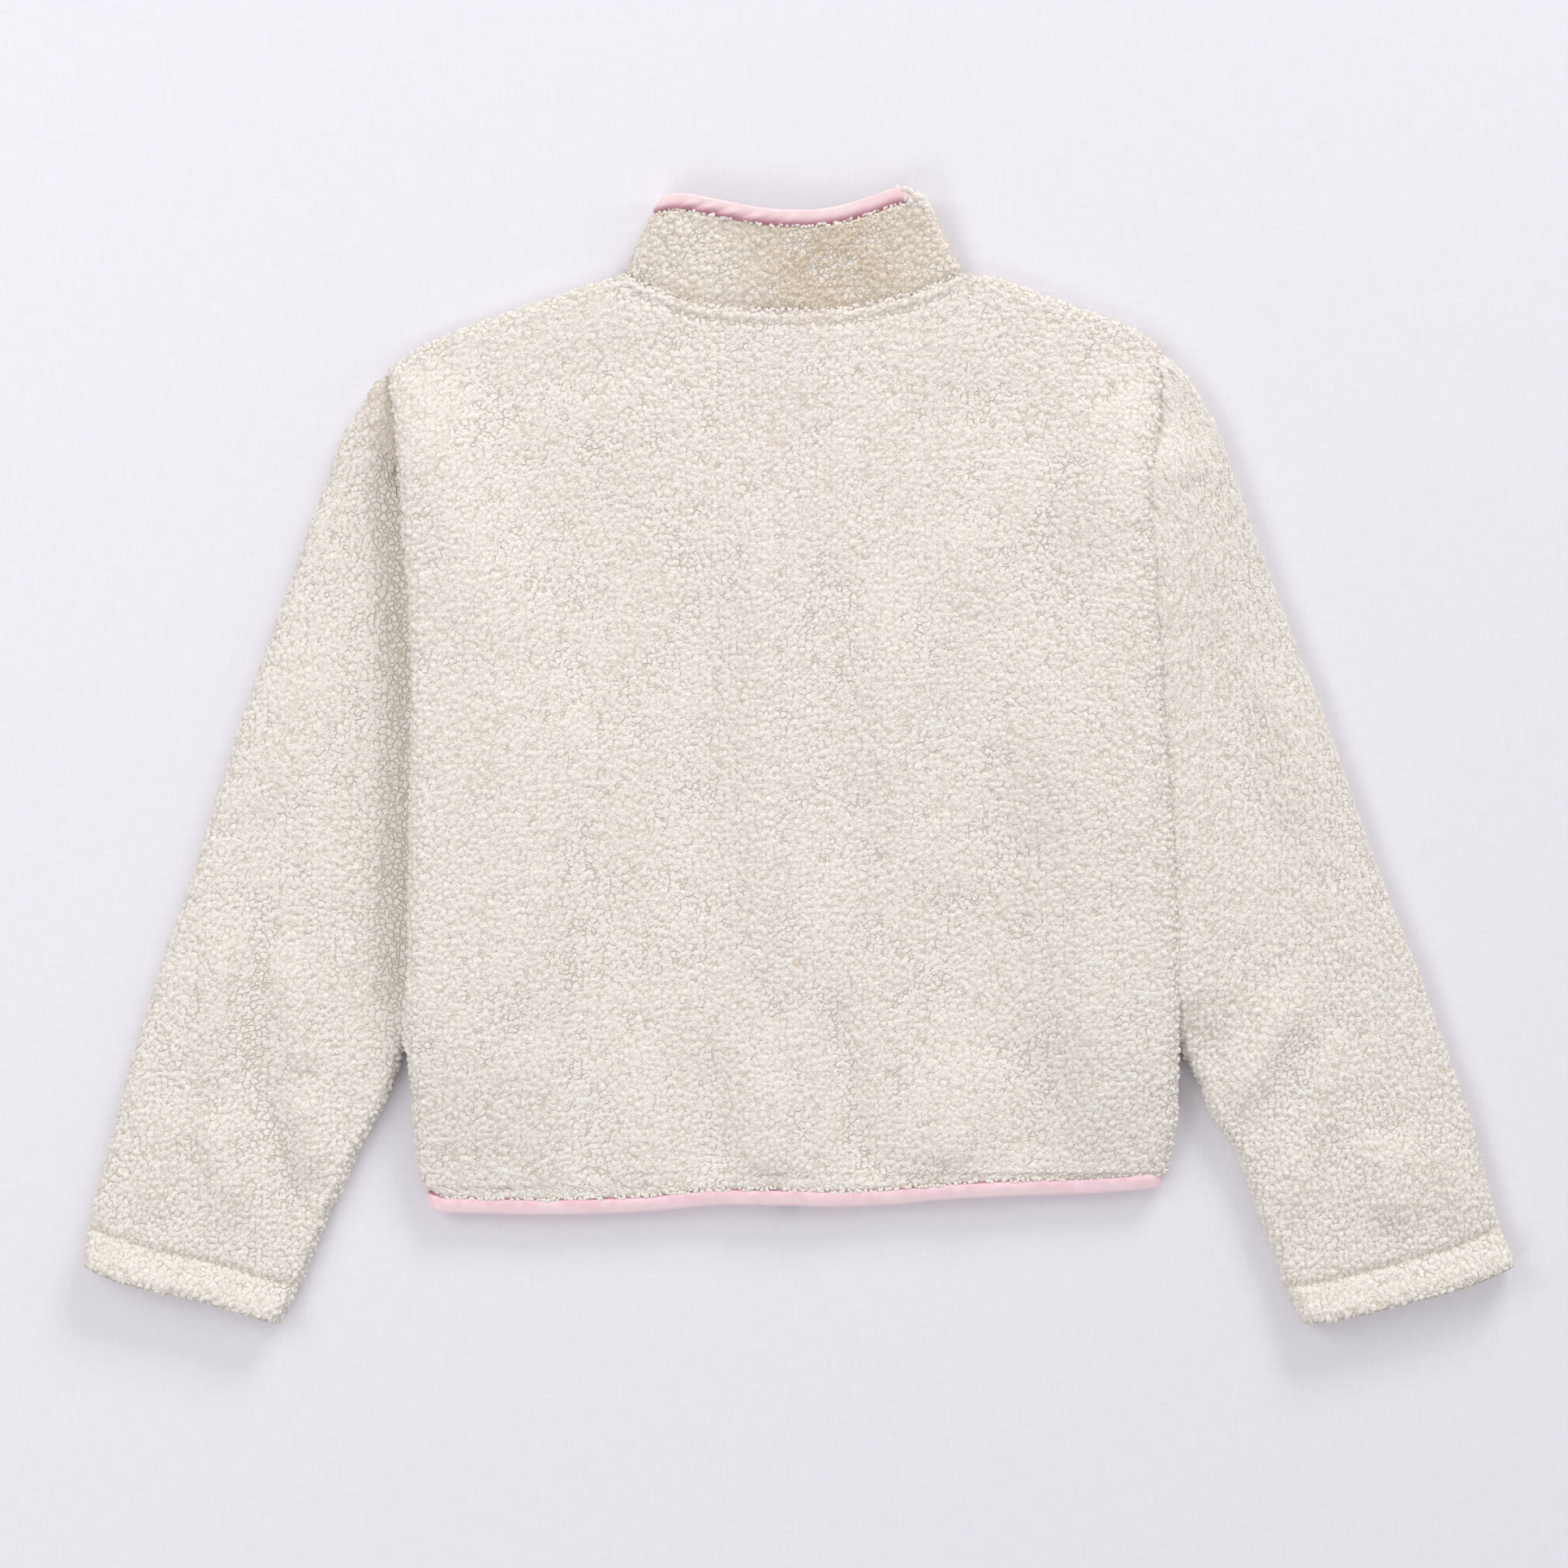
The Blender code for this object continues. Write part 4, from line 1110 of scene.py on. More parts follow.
    def front_top(self, x: np.ndarray) -> np.ndarray:
        """Top edge of the fronts: shoulders and front neck seam."""
        return np.where(self.on_neck(x), self.front_neck(x), self.shoulder(x))

    def half_thickness(self, x: np.ndarray, y: np.ndarray) -> np.ndarray:
        """Half thickness of the fleece: full, and pressed thin inside the hem binding."""
        return self.bound_half + (self.fleece / 2 - self.bound_half) * self.out_of_hem(x, y)


# Steps in from a rounded edge, for a fine and for a coarse grid
EDGE_STEPS = np.array([0.0, 0.06, 0.22, 0.5, 0.85, 1.3, 1.9, 2.6, 3.4, 4.3, 5.3, 6.4, 7.5])
FEW_STEPS = np.array([0.0, 0.5, 1.9, 4.3, 7.5])


@dataclass
class PanelGrid:
    """Grid of places on a body panel, fine at its edges and even in between."""

    layout: Layout
    pitch: float
    edge_steps: np.ndarray
    row_pitch: float

    def columns(self, width: float, left: bool, right: bool) -> tuple[np.ndarray, ...]:
        """Share across and steps in from both edges, for each column.

        Args:
            width: about how wide the panel is.
            left: whether the left edge is rounded and needs close columns.
            right: the same for the right edge.

        Returns:
            Three arrays: share across, step in from the left, step in from the right.
        """
        low = self.edge_steps if left else np.array([0.0])
        high = self.edge_steps if right else np.array([0.0])
        middle = spaced(0.0, 1.0, self.pitch / width)[1:-1]
        share = np.concatenate([np.zeros(len(low)), middle, np.ones(len(high))])
        from_low = np.concatenate([low, np.full(len(middle) + len(high), low[-1])])
        from_high = np.concatenate([np.full(len(low) + len(middle), high[-1]), high[::-1]])
        return share, from_low, from_high

    def rows(self) -> tuple[np.ndarray, np.ndarray]:
        """Share of the panel's height and offset from there, for each row.

        Returns:
            Two arrays, of one number for each row.
        """
        layout = self.layout
        hem = np.array([0.0, 4.0, layout.bound_depth - 0.4, 8.9, 9.5, 10.1, layout.full_depth])
        reach = self.edge_steps[-1]
        middle = spaced(0.0, 1.0, self.row_pitch / (layout.high_y - layout.low_y))
        share = np.concatenate([np.zeros(len(hem)), middle[1:-1], np.ones(len(self.edge_steps))])
        middle_offset = (layout.full_depth * (1 - middle) - reach * middle)[1:-1]
        offset = np.concatenate([hem, middle_offset, -self.edge_steps[::-1]])
        return share, offset

    def plan(
        self, columns: tuple[np.ndarray, ...], left: Curve, right: Curve, top: Curve
    ) -> tuple[np.ndarray, np.ndarray]:
        """Places on the panel, found by turns: across from height, and height from across.

        Args:
            columns: what the columns method gives.
            left: the panel's left edge, as a place across from the height up the jacket.
            right: its right edge in the same way.
            top: its top edge, as a height from the place across.

        Returns:
            Places across and up the jacket, for each point of the grid.
        """
        share, offset = (values[:, None] for values in self.rows())
        across, from_left, from_right = (values[None, :] for values in columns)
        y = share * self.layout.high_y + (1 - share) * self.layout.low_y + offset + 0 * across
        for _ in range(9):
            low = left(y) + from_left
            high = right(y) - from_right
            x = low + across * (high - low)
            bottom = self.layout.cloth_bottom(x)
            y = bottom + share * (top(x) - bottom) + offset
        return x, y


@dataclass
class Pile:
    """The curled pile: lumps on a skin of points, raised along its normals."""

    curl: float = 3.9
    height: float = 1.05
    inset: float = 0.6
    clump: float = 15.0
    clump_height: float = 0.35
    lean: float = 1.0
    fibre: float = 0.12
    fibre_length: float = 2.4
    spill_pitch: float = 1.9
    spill_size: float = 1.3

    def curls(self, points: np.ndarray, seed: int = 3) -> tuple[np.ndarray, np.ndarray]:
        """Height of the curls and a tone for each, both from 0 to 1.

        Space is cut into cells with one middle each, at an uneven place. A point's height
        falls off as a dome with its distance to the nearest middle, and drops in a narrow
        furrow where the second nearest is almost as near. The tone is the nearest cell's.

        Args:
            points: places on the cloth.
            seed: which set of cells to use.

        Returns:
            The height and the tone at each point.
        """
        place = points / self.curl
        place = place + 0.13 * np.sin(place[..., [1, 2, 0]] * 2.7 + 1.3)
        low = np.floor(place)
        near = np.full(points.shape[:-1], 9.0)
        second = near.copy()
        tone = 0 * near
        for step in np.ndindex(3, 3, 3):
            corner = low + (np.array(step, float) - 1)
            middle = np.stack([scatter(corner, seed + k) for k in range(3)], axis=-1)
            distance = np.sqrt(((place - corner - 0.08 - 0.84 * middle) ** 2).sum(axis=-1))
            second = np.minimum(second, np.maximum(near, distance))
            tone = np.where(distance < near, middle[..., 0], tone)
            near = np.minimum(near, distance)
        dome = 1 - ease(near / 1.15)
        furrow = ease((second - near) / 0.36)
        return furrow * (0.40 + 0.60 * dome) + 0.25 * dome, tone

    def spill(
        self, name: str, line: np.ndarray, up: np.ndarray, spread: tuple[float, float]
    ) -> bpy.types.Object:
        """Make single curls strewn along a seam, where the pile spills over it.

        Each is a rounded block turned at random, at an uneven place beside the line.

        Args:
            name: the piece's name.
            line: points along the seam.
            up: direction out of the cloth at each point.
            spread: how far below and above the line the curls may lie.

        Returns:
            One joined mesh of all the curls.
        """
        run = distances(line)
        draw = np.random.default_rng(len(line))
        at = np.arange(1.0, run[-1] - 1.0, self.spill_pitch)
        at = (at + draw.uniform(-0.8, 0.8, len(at)))[draw.random(len(at)) < 0.8]
        centre = points_at(at, run, line)
        centre[:, 1] += draw.uniform(*spread, len(at))
        out = points_at(at, run, up)
        first = unit(np.cross(out, draw.normal(size=(len(at), 3))))
        size = self.spill_size * draw.uniform(0.7, 1.25, (len(at), 1))
        second = np.cross(out, first) * size * 0.85
        moves = np.stack([first * size * 1.15, second, out * size * 0.8, centre], axis=1)
        points, every = joined_copies(*rounded_block(), moves)
        piece = new_mesh(name, points, every)
        # Painted shade: the curl value rises from each curl's underside to its top, so the finish colours
        # the underside darker
        height = np.tile(np.linspace(0.45, 1.1, len(points) // len(at)), len(at))
        add_value(piece, "curl", height)
        add_value(piece, "tone", np.full(len(points), 0.3))
        return piece

    def raise_skin(
        self, skin: np.ndarray, outward: np.ndarray, amount: np.ndarray, ring: bool = False
    ) -> tuple[np.ndarray, np.ndarray, np.ndarray]:
        """Raise a skin into curls.

        Args:
            skin: grid of points on the cloth's outer side.
            outward: rough outward direction at each point.
            amount: share of the full height at each point.
            ring: whether the last column joins the first.

        Returns:
            The raised points, and the curls' height and tone at each.
        """
        normal = outward_normals(skin, outward, ring)
        curls, tone = self.curls(skin)
        clumps = soft_noise(skin, self.clump, 11) * self.clump_height
        fine = soft_noise(skin, 2.1, 17) * 0.12
        rise = (curls * self.height + clumps + fine) * amount - self.inset * amount
        return skin + normal * rise[..., None], curls, tone

    def fibres(
        self, name: str, skin: np.ndarray, outward: np.ndarray, weight: np.ndarray, count: int,
        ring: bool = False,
    ) -> bpy.types.Object:
        """Make fine bent fibres that stand out of the curls.

        Each is the same small tapered bow of three square rings. It is set at a point of the
        skin drawn by weight, along the normal turned a little at random, at its own length.

        Args:
            name: the piece's name.
            skin: grid of points on the raised pile.
            outward: rough outward direction at each point.
            weight: how thickly the fibres stand at each point.
            count: how many there are.
            ring: whether the last column joins the first.

        Returns:
            One joined mesh of all the fibres.
        """
        level = np.array([-0.1, 0.5, 1.0])[:, None]
        bend = np.array([0.0, 0.12, 0.42])[:, None]
        taper = np.array([1.0, 0.8, 0.3])[:, None]
        across = np.array([1.0, -1.0, -1.0, 1.0])[None, :]
        other = np.array([1.0, 1.0, -1.0, -1.0])[None, :]
        bow = stack(across * taper, bend + 0.04 * other * taper, level).reshape(-1, 3)
        tube = faces_between(grid_index(3, 4, ring=True))
        faces = faced_out(bow, np.concatenate([tube, [[3, 2, 1, 0], [8, 9, 10, 11]]]))
        draw = np.random.default_rng(count)
        normal = outward_normals(skin, outward, ring)
        chosen = draw.choice(weight.size, count, p=weight.ravel() / weight.sum())
        along = unit(normal.reshape(-1, 3)[chosen] + draw.uniform(-0.7, 0.7, (count, 3)))
        aside = unit(np.cross(along, draw.normal(size=(count, 3))))
        length = self.fibre_length * draw.uniform(0.5, 1.5, (count, 1))
        root = skin.reshape(-1, 3)[chosen]
        bent = np.cross(along, aside) * length
        moves = np.stack([aside * self.fibre, bent, along * length, root], axis=1)
        points, every = joined_copies(bow, faces, moves)
        points[:, 2] = np.maximum(points[:, 2], 0.0)
        piece = new_mesh(name, points, every)
        add_value(piece, "curl", np.full(len(points), 1.1))
        add_value(piece, "tone", np.full(len(points), 0.2))
        return piece


@dataclass
class BodyPanels:
    """The back and both fronts."""

    layout: Layout
    pile: Pile
    finishes: Finishes
    # Lesser creases of the back: x1, y1, x2, y2, reach, height
    back_creases: Rows = (
        (-58, -172, -54, -300, 12, -2.9),
        (14, -135, 50, -296, 10, -3.2),
        (-196, -20, -200, -200, 17, -1.6),
        (-133, -30, -80, -240, 16, -1.9),
        (94, -80, 92, -180, 26, -1.7),
        (150, -160, 142, -270, 17, -1.9),
        (196, -60, 202, -190, 17, -1.5),
        (-25, 185, -23, -130, 14, 3.3),
        (52, 115, 56, -70, 15, 2.2),
        (-154, 0, -156, -290, 14, 2.0),
        (-22, -175, -17, -330, 17, 2.8),
        (88, -195, 86, -330, 17, 2.8),
        (-95, -150, -100, -320, 14, 1.4),
        (-230, 236, -172, 70, 21, 3.0),
        (205, 236, 165, 110, 21, 2.4),
        (-62, 120, -72, -100, 18, -2.5),
        (12, 150, 16, -100, 17, -2.7),
        (-120, 190, -135, 20, 28, -1.9),
        (170, 150, 165, 20, 26, -1.2),
        (150, 190, 70, 20, 24, 1.9),
        (60, 205, 150, 222, 18, -0.8),
        (-170, 232, -60, 250, 16, -0.9),
    )
    crease_share: float = 1.3
    flush_share: tuple[float, float] = (0.72, 0.92)
    chest: float = 470.0
    front_width: float = 225.0
    shell_pitch: float = 9.0
    pile_pitch: float = 1.22
    fibre_count: int = 560

    def seam_distance(self, x: np.ndarray, y: np.ndarray, top: Curve) -> np.ndarray:
        """Distance to the nearest side or shoulder seam, the neck left out.

        Args:
            x: places across.
            y: places up the jacket.
            top: the panel's top edge.

        Returns:
            The distance at each place.
        """
        layout = self.layout
        sides = layout.from_side(x, y)
        off_neck = np.maximum(layout.neck_left - x, x - layout.neck_right)
        to_top = (top(x) - y) * 0.92 + layout.edge_round * (1 - ease((off_neck + 2) / 10))
        return np.minimum(sides, to_top)

    def joined(self, x: np.ndarray, y: np.ndarray) -> np.ndarray:
        """Where the armhole seam lies flush with the sleeve.

        Args:
            x: places across.
            y: places up the jacket.

        Returns:
            1 where it is flush and 0 where the body stands over the sleeve.
        """
        low_left, low_right = self.layout.flush_from
        left = ease((y - low_left) / 20)
        right = ease((y - low_right) / 34)
        return np.where(x < 0, left, right)

    def back_heights(self, x: np.ndarray, y: np.ndarray) -> tuple[np.ndarray, np.ndarray]:
        """Upper and lower side of the back: its middle plus and minus half its thickness.

        At side and shoulder seams both sides draw together over a quarter of an oval, and
        across the neck two furrows leave a stitched ridge under the collar.

        Args:
            x: places across.
            y: places up the jacket.

        Returns:
            Heights of the upper and of the lower side.
        """
        layout = self.layout
        base, gap = layout.lift(x, y), layout.space(x, y)
        seam = base + layout.fleece + gap / 2
        middle = base + layout.fleece + gap + layout.fleece / 2
        half = layout.half_thickness(x, y)
        free = layout.out_of_hem(x, y)
        rounding = quarter_round(self.seam_distance(x, y, layout.back_top), layout.edge_round)
        flush = self.joined(x, y) * ease((layout.shoulder(x) - y - 4) / 10)
        flush = flush * np.where(x < 0, *self.flush_share)
        upper_edge = 1 - (1 - rounding) * free * (1 - flush)
        below = layout.back_top(x) - y
        neck = ease((x - layout.neck_left) / 6) * ease((layout.neck_right - x) / 6)
        furrow = 1.3 * bell(below, 2.4) + bell(below - layout.neck_ridge, 2.3)
        furrow = furrow - 0.25 * bell(below - 5, 3.2)
        uneven = soft_noise(stack(x, 0 * x, 0 * x), 13.0, 61)
        furrow = furrow * (0.72 + 0.38 * (x / 100) ** 2 + 0.3 * uneven)
        free_of_edges = ease(below / 30) * ease((y - layout.cloth_bottom(x) - 10) / 20)
        creases = self.crease_share * soft_folds(self.back_creases, x, y) * free_of_edges
        upper = middle + half + creases * rounding - layout.neck_groove * furrow * neck
        thin = seam + layout.seam_gap / 2
        outer = thin + layout.seam_edge + (upper - thin - layout.seam_edge) * upper_edge
        inner = thin + (middle - half - thin) * (1 - (1 - rounding) * free)
        return outer, inner

    def front_heights(self, x: np.ndarray, y: np.ndarray) -> tuple[np.ndarray, np.ndarray]:
        """Lower and upper side of a front, which lies flat on the surface.

        Args:
            x: places across.
            y: places up the jacket.

        Returns:
            Heights of the lower and of the upper side.
        """
        layout = self.layout
        base, gap = layout.lift(x, y), layout.space(x, y)
        middle = base + layout.fleece / 2
        half = layout.half_thickness(x, y)
        rounding = quarter_round(self.seam_distance(x, y, layout.front_top), layout.edge_round)
        edge = 1 - (1 - rounding) * layout.out_of_hem(x, y)
        thin = base + layout.fleece + gap / 2 - layout.seam_gap / 2
        upper = thin + (middle + half - thin) * edge
        lower = thin - layout.seam_edge + (middle - half - thin + layout.seam_edge) * edge
        return lower, upper

    def whole_back(self, pitch: float, steps: np.ndarray) -> tuple[np.ndarray, np.ndarray]:
        """Grid of places on the back.

        Args:
            pitch: spacing of rows and columns away from the edges.
            steps: steps in from the edges.

        Returns:
            Places across and up the jacket.
        """
        grid, layout = PanelGrid(self.layout, pitch, steps, pitch), self.layout
        columns = grid.columns(self.chest, True, True)
        return grid.plan(columns, layout.left_edge, layout.right_edge, layout.back_top)

    def build_back(self) -> None:
        """Cloth shell of the back and its pile in three strips."""
        layout = self.layout
        x, y = self.whole_back(self.shell_pitch, FEW_STEPS)
        outer, inner = self.back_heights(x, y)
        sunk = 0.45 * layout.out_of_hem(x, y)
        shell = closed_wall("back_cloth", stack(x, y, outer - sunk), stack(x, y, inner))
        settle(shell, self.finishes.cloth, ("back",))
        x, y = (places[3:] for places in self.whole_back(self.pile_pitch, EDGE_STEPS))
        outer, _ = self.back_heights(x, y)
        skin = stack(x, y, outer)
        out = layout.out_of_hem(x, y)
        below = layout.back_top(x) - y
        at_rim = bell(layout.from_side(x, y), 7) + bell(below, 7) * ~layout.on_neck(x)
        amount = out * (1 + 0.75 * np.minimum(at_rim, 1.0))
        neck = ease((x - layout.neck_left - 8) / 30) * ease((layout.neck_right - 8 - x) / 30)
        shade = bell(below - layout.neck_ridge, 1.7) + bell(below, 2.2)
        uneven = soft_noise(stack(x, y, 0 * x), 11.0, 67)
        shade = shade * (0.55 + 0.35 * (x / 100) ** 2 + 0.3 * uneven)
        shade = 1 - np.clip(shade * neck + 0.3 * bell(below, 15) * neck, 0, 0.9)
        over_sleeve = ease((y + 205) / 40) * self.pile.lean
        from_left, from_right = x - layout.left_edge(y), layout.right_edge(y) - x
        skin[..., 0] -= over_sleeve * (bell(from_left, 5) - bell(from_right, 5))
        raised, curls, tone = self.pile.raise_skin(skin, UP, amount)
        rim = np.maximum(at_rim - 0.2, 0) * out * (y > layout.hem_level)
        fibres = self.pile.fibres("back_fibres", raised, UP, rim + 0.004, self.fibre_count)
        settle(fibres, self.finishes.pile)
        lowest = np.array(layout.low_y)
        line_x = spaced(layout.left_edge(lowest) + 2, layout.right_edge(lowest) - 2, 2.0)
        line_y = layout.cloth_bottom(line_x) + layout.bound_depth + 0.4
        line = stack(line_x, line_y, layout.middle_of_hem(line_x) + 2.5)
        hem_curls = self.pile.spill("hem_curls", line, np.tile(UP, (len(line), 1)), (-1.3, 0.9))
        neck_x = spaced(layout.neck_left + 3, layout.neck_right - 3, 2.0)
        neck_y = read_table(layout.back_neck, neck_x)
        line = stack(neck_x, neck_y, self.back_heights(neck_x, neck_y - 1.0)[0] - 0.2)
        neck_curls = self.pile.spill("neck_curls", line, np.tile(UP, (len(line), 1)), (-1.4, 1.0))
        for piece in (hem_curls, neck_curls):
            settle(piece, self.finishes.pile)
        cuts = np.linspace(0, x.shape[1] - 1, 4).astype(int)
        for number, (low, high) in enumerate(zip(cuts[:-1], cuts[1:]), start=1):
            part = np.s_[:, low : high + 1]
            pile_skin(
                f"back_pile_{number}", raised[part], UP, (curls * shade)[part], tone[part],
                self.finishes.pile,
            )

    def build_front(self, hand: Hand) -> None:
        """Cloth shell of one front, with low curls on its rounded side.

        Args:
            hand: which of the two it is.
        """
        layout = self.layout
        grid = PanelGrid(layout, 7.0, EDGE_STEPS[::2], 3.2)
        on_left = hand is Hand.LEFT

        def at_zip(y: np.ndarray) -> np.ndarray:
            """The front's straight edge beside the zip."""
            return layout.zip_x + hand.value * layout.zip_opening + 0 * y

        left, right = (layout.left_edge, at_zip) if on_left else (at_zip, layout.right_edge)
        columns = grid.columns(self.front_width, on_left, not on_left)
        x, y = grid.plan(columns, left, right, layout.front_top)
        outer, inner = self.front_heights(x, y)
        skin = stack(x, y, outer)
        side = x - layout.left_edge(y) if on_left else layout.right_edge(y) - x
        amount = layout.out_of_hem(x, y) * (1 - ease((side - 5) / 5)) * 0.8
        raised, _, _ = self.pile.raise_skin(skin, -UP, amount)
        raised[..., 2] = np.maximum(raised[..., 2], np.minimum(skin[..., 2], 0.2))
        name = f"front_{hand.label}"
        piece = closed_wall(f"{name}_cloth", raised, stack(x, y, inner))
        settle(piece, self.finishes.cloth, (name,))


@dataclass
class Sleeve:
    """A flattened sleeve tube from the armhole, tucked under the body, to its turned cuff."""

    layout: Layout
    pile: Pile
    finishes: Finishes
    hand: Hand
    outer_edge: Rows
    inner_edge: Rows
    cuff_edge: Rows
    creases: Rows
    length: float = 450.0
    cuff_depth: float = 25.0
    cuff_wall: float = 9.2
    cuff_groove: float = 1.9
    layer_space: float = 1.2
    # How the upper layer lies beside the body: shade, height, reach from the seam, and ends up the jacket
    seam_shade: float = 0.2
    curl_share: float = 1.2
    end_reach: float = 2.6
    swell: float = 0.0
    swell_start: float = -1.6
    seam_dip: tuple[float, float] = (0.18, 0.16)
    swell_reach: float = 20.0
    swell_ends: tuple[float, float] = (-165.0, 200.0)
    shell_pitch: float = 8.0
    pile_pitch: float = 1.28
    fibre_count: int = 600
    flat: tuple[float, float] = (0.50, 0.49)
    area: float = 0.160

    def hidden_edge(self, y: np.ndarray) -> np.ndarray:
        """The sleeve's inner edge where the body covers it.

        Args:
            y: heights up the jacket.

        Returns:
            The edge's places across.
        """
        tuck = np.maximum(read_table(self.layout.tuck, y)[..., self.hand.index], 0.0)
        return self.layout.side(self.hand, y) + self.hand.value * (self.layout.armhole_gap - tuck)

    def beside_body(self, x: np.ndarray, y: np.ndarray) -> np.ndarray:
        """Height that the upper layer gains, or loses, along the body's edge.

        It steps up at the edge, falls off as a bell from 5 mm outside it, and fades over
        45 mm at both ends.

        Args:
            x: places across.
            y: places up the jacket.

        Returns:
            The height at each place.
        """
        off = self.hand.value * (x - self.layout.side(self.hand, y))
        low, high = self.swell_ends
        ends = ease((y - low) / 45) * ease((high - y) / 45)
        fall = bell(np.maximum(off - 5, 0), self.swell_reach)
        return self.swell * ease((off - self.swell_start) / 2.0) * fall * ends

    def frame_lines(self, steps: np.ndarray) -> tuple[np.ndarray, np.ndarray]:
        """Points on the sleeve's outer and inner edge.

        Args:
            steps: distances from the cuff.

        Returns:
            Points on the outer edge and on the inner edge, one for each distance.
        """
        tucked = np.array([-178.0, -150.0, -110.0, -60.0, self.layout.underarm])
        inner_line = list(self.inner_edge) + list(zip(self.hidden_edge(tucked), tucked))
        outer_line = list(self.outer_edge)[::-1]
        grown = (steps / self.length) ** 3
        outer = along_line(outer_line, steps + (line_length(outer_line) - self.length) * grown)
        inner = along_line(inner_line, steps + (line_length(inner_line) - self.length) * grown)
        return outer, inner

    def spread(
        self, steps: np.ndarray, pitch: float, close: np.ndarray, under_pitch: float
    ) -> tuple[np.ndarray, np.ndarray, np.ndarray]:
        """Shares across the tube for each row, over the top and back under it.

        Args:
            steps: distance of each row from the cuff.
            pitch: spacing of columns on the upper layer.
            close: steps in from both folds.
            under_pitch: spacing of columns on the lower layer.

        Returns:
            The shares, whether each column is on top, and the rows' widths.
        """
        outer, inner = self.frame_lines(steps)
        width = np.hypot(*(outer - inner).T)[:, None]
        near = close[None, :] / width
        count = math.ceil(float(width.mean()) / pitch)
        even = np.linspace(0, 1, count)[None, 1:-1]
        first, room = near[:, -1:], 1 - 2 * near[:, -1:]
        top = np.concatenate([near, first + room * even, 1 - near[:, ::-1]], axis=1)
        few = np.linspace(0, 1, math.ceil(float(width.mean()) / under_pitch))[None, 1:-1]
        flat = first + room * few
        under = np.concatenate([1 - near[:, 1:], flat[:, ::-1], near[:, :0:-1]], axis=1)
        t = np.concatenate([top, under], axis=1)
        return t, np.arange(t.shape[1])[None, :] < top.shape[1], width

    def skin(
        self, steps: np.ndarray, level: np.ndarray, t: np.ndarray, is_top: np.ndarray,
        width: np.ndarray,
    ) -> np.ndarray:
        """Points of the tube.

        The place across is a patch between the sleeve's four edges: the blend of its sides
        plus the blend of its ends, less the blend of its corners. The height is half the
        tube's, turned down over a quarter of an oval at both folds.

        Args:
            steps: distance of each row from the cuff.
            level: 1 on the wall's outer side and 0 on its inner side, for each row.
            t: share across for each point.
            is_top: whether each column is on the upper layer.
            width: width of each row.

        Returns:
            A grid of points.
        """
        layout = self.layout
        outer_at, inner_at = self.frame_lines(steps)
        s = (steps / self.length)[:, None, None]
        armhole_y = self.outer_edge[0][1] + t * (layout.underarm - self.outer_edge[0][1])
        armhole = np.stack([self.hidden_edge(armhole_y), armhole_y], axis=-1)
        cuff = along_line(self.cuff_edge, t * line_length(self.cuff_edge))
        across = t[..., None]
        sides = (1 - across) * outer_at[:, None] + across * inner_at[:, None]
        ends = (1 - s) * cuff + s * armhole
        corner_outer = (1 - s) * np.array(self.cuff_edge[0]) + s * np.array(self.outer_edge[0])
        underarm = np.array([float(self.hidden_edge(np.array(layout.underarm))), layout.underarm])
        corner_inner = (1 - s) * np.array(self.cuff_edge[-1]) + s * underarm
        place = sides + ends - (1 - across) * corner_outer - across * corner_inner
        x, y = place[..., 0], place[..., 1]
        along = steps[:, None] + 0 * t
        turned = 1 - ease((along - self.cuff_depth + 22) / 23)
        wall = layout.fleece + (self.cuff_wall - layout.fleece) * turned
        above_cuff = ease((along - self.cuff_depth - 2) / 12)
        ridges = soft_folds(tuple(row for row in self.creases if row[5] > 0), x, y) * above_cuff
        gap = np.minimum(self.layer_space + ridges, layout.widest_space)
        extra = soft_folds(self.creases, x, y) * above_cuff + self.beside_body(x, y)
        groove = self.cuff_groove * bell(along - self.cuff_depth, 2.6)
        middle = wall + gap / 2
        distance = np.minimum(t, 1 - t) * width
        oval = quarter_round(distance, layout.edge_round)
        up = np.where(is_top, 1.0, -1.0)
        to_armhole = self.length - along
        ditch = 1 - (1 - quarter_round(to_armhole, 6.0)) * self.ditch(y) * is_top
        reach = (middle - groove * is_top + extra * is_top) * ditch
        outer_z = middle + up * reach * oval
        inner_z = middle + up * (gap / 2) * quarter_round(distance, 3.0)
        toward = (inner_at - outer_at) / width
        moved = wall * (1 - 2 * t)
        share = level[:, None]
        z = np.maximum(inner_z + share * (outer_z - inner_z), 0.0)
        into = (1 - share) * moved
        return stack(x + into * toward[:, :1], y + into * toward[:, 1:], z)

    def ditch(self, y: np.ndarray) -> np.ndarray:
        """How deep the upper layer dips at the armhole seam.

        Args:
            y: heights up the jacket.

        Returns:
            The dip as a share of half the sleeve's thickness.
        """
        start = self.layout.flush_from[self.hand.index]
        return self.seam_dip[0] + self.seam_dip[1] * (1 - ease((y - start) / 30))

    def cuff_rows(self, pitch: float) -> tuple[np.ndarray, np.ndarray]:
        """Rows of the pile: inside the cuff, round its end, and up the sleeve.

        Args:
            pitch: spacing of the rows.

        Returns:
            Distance from the cuff and level in the wall, for each row.
        """
        radius = self.cuff_wall / 2
        angle = spaced(-math.pi / 2, math.pi / 2, pitch / radius)
        inside = np.array([16.0, 12.0, 9.0, 6.5])
        outside = spaced(radius + pitch, self.length, pitch)
        rounded = 1 - np.abs(np.cos(angle)) ** 0.55
        high = 0.5 + 0.5 * np.sign(np.sin(angle)) * np.abs(np.sin(angle)) ** 0.8
        steps = np.concatenate([inside, radius * rounded, outside])
        level = np.concatenate([0 * inside, high, 0 * outside + 1])
        return steps, level

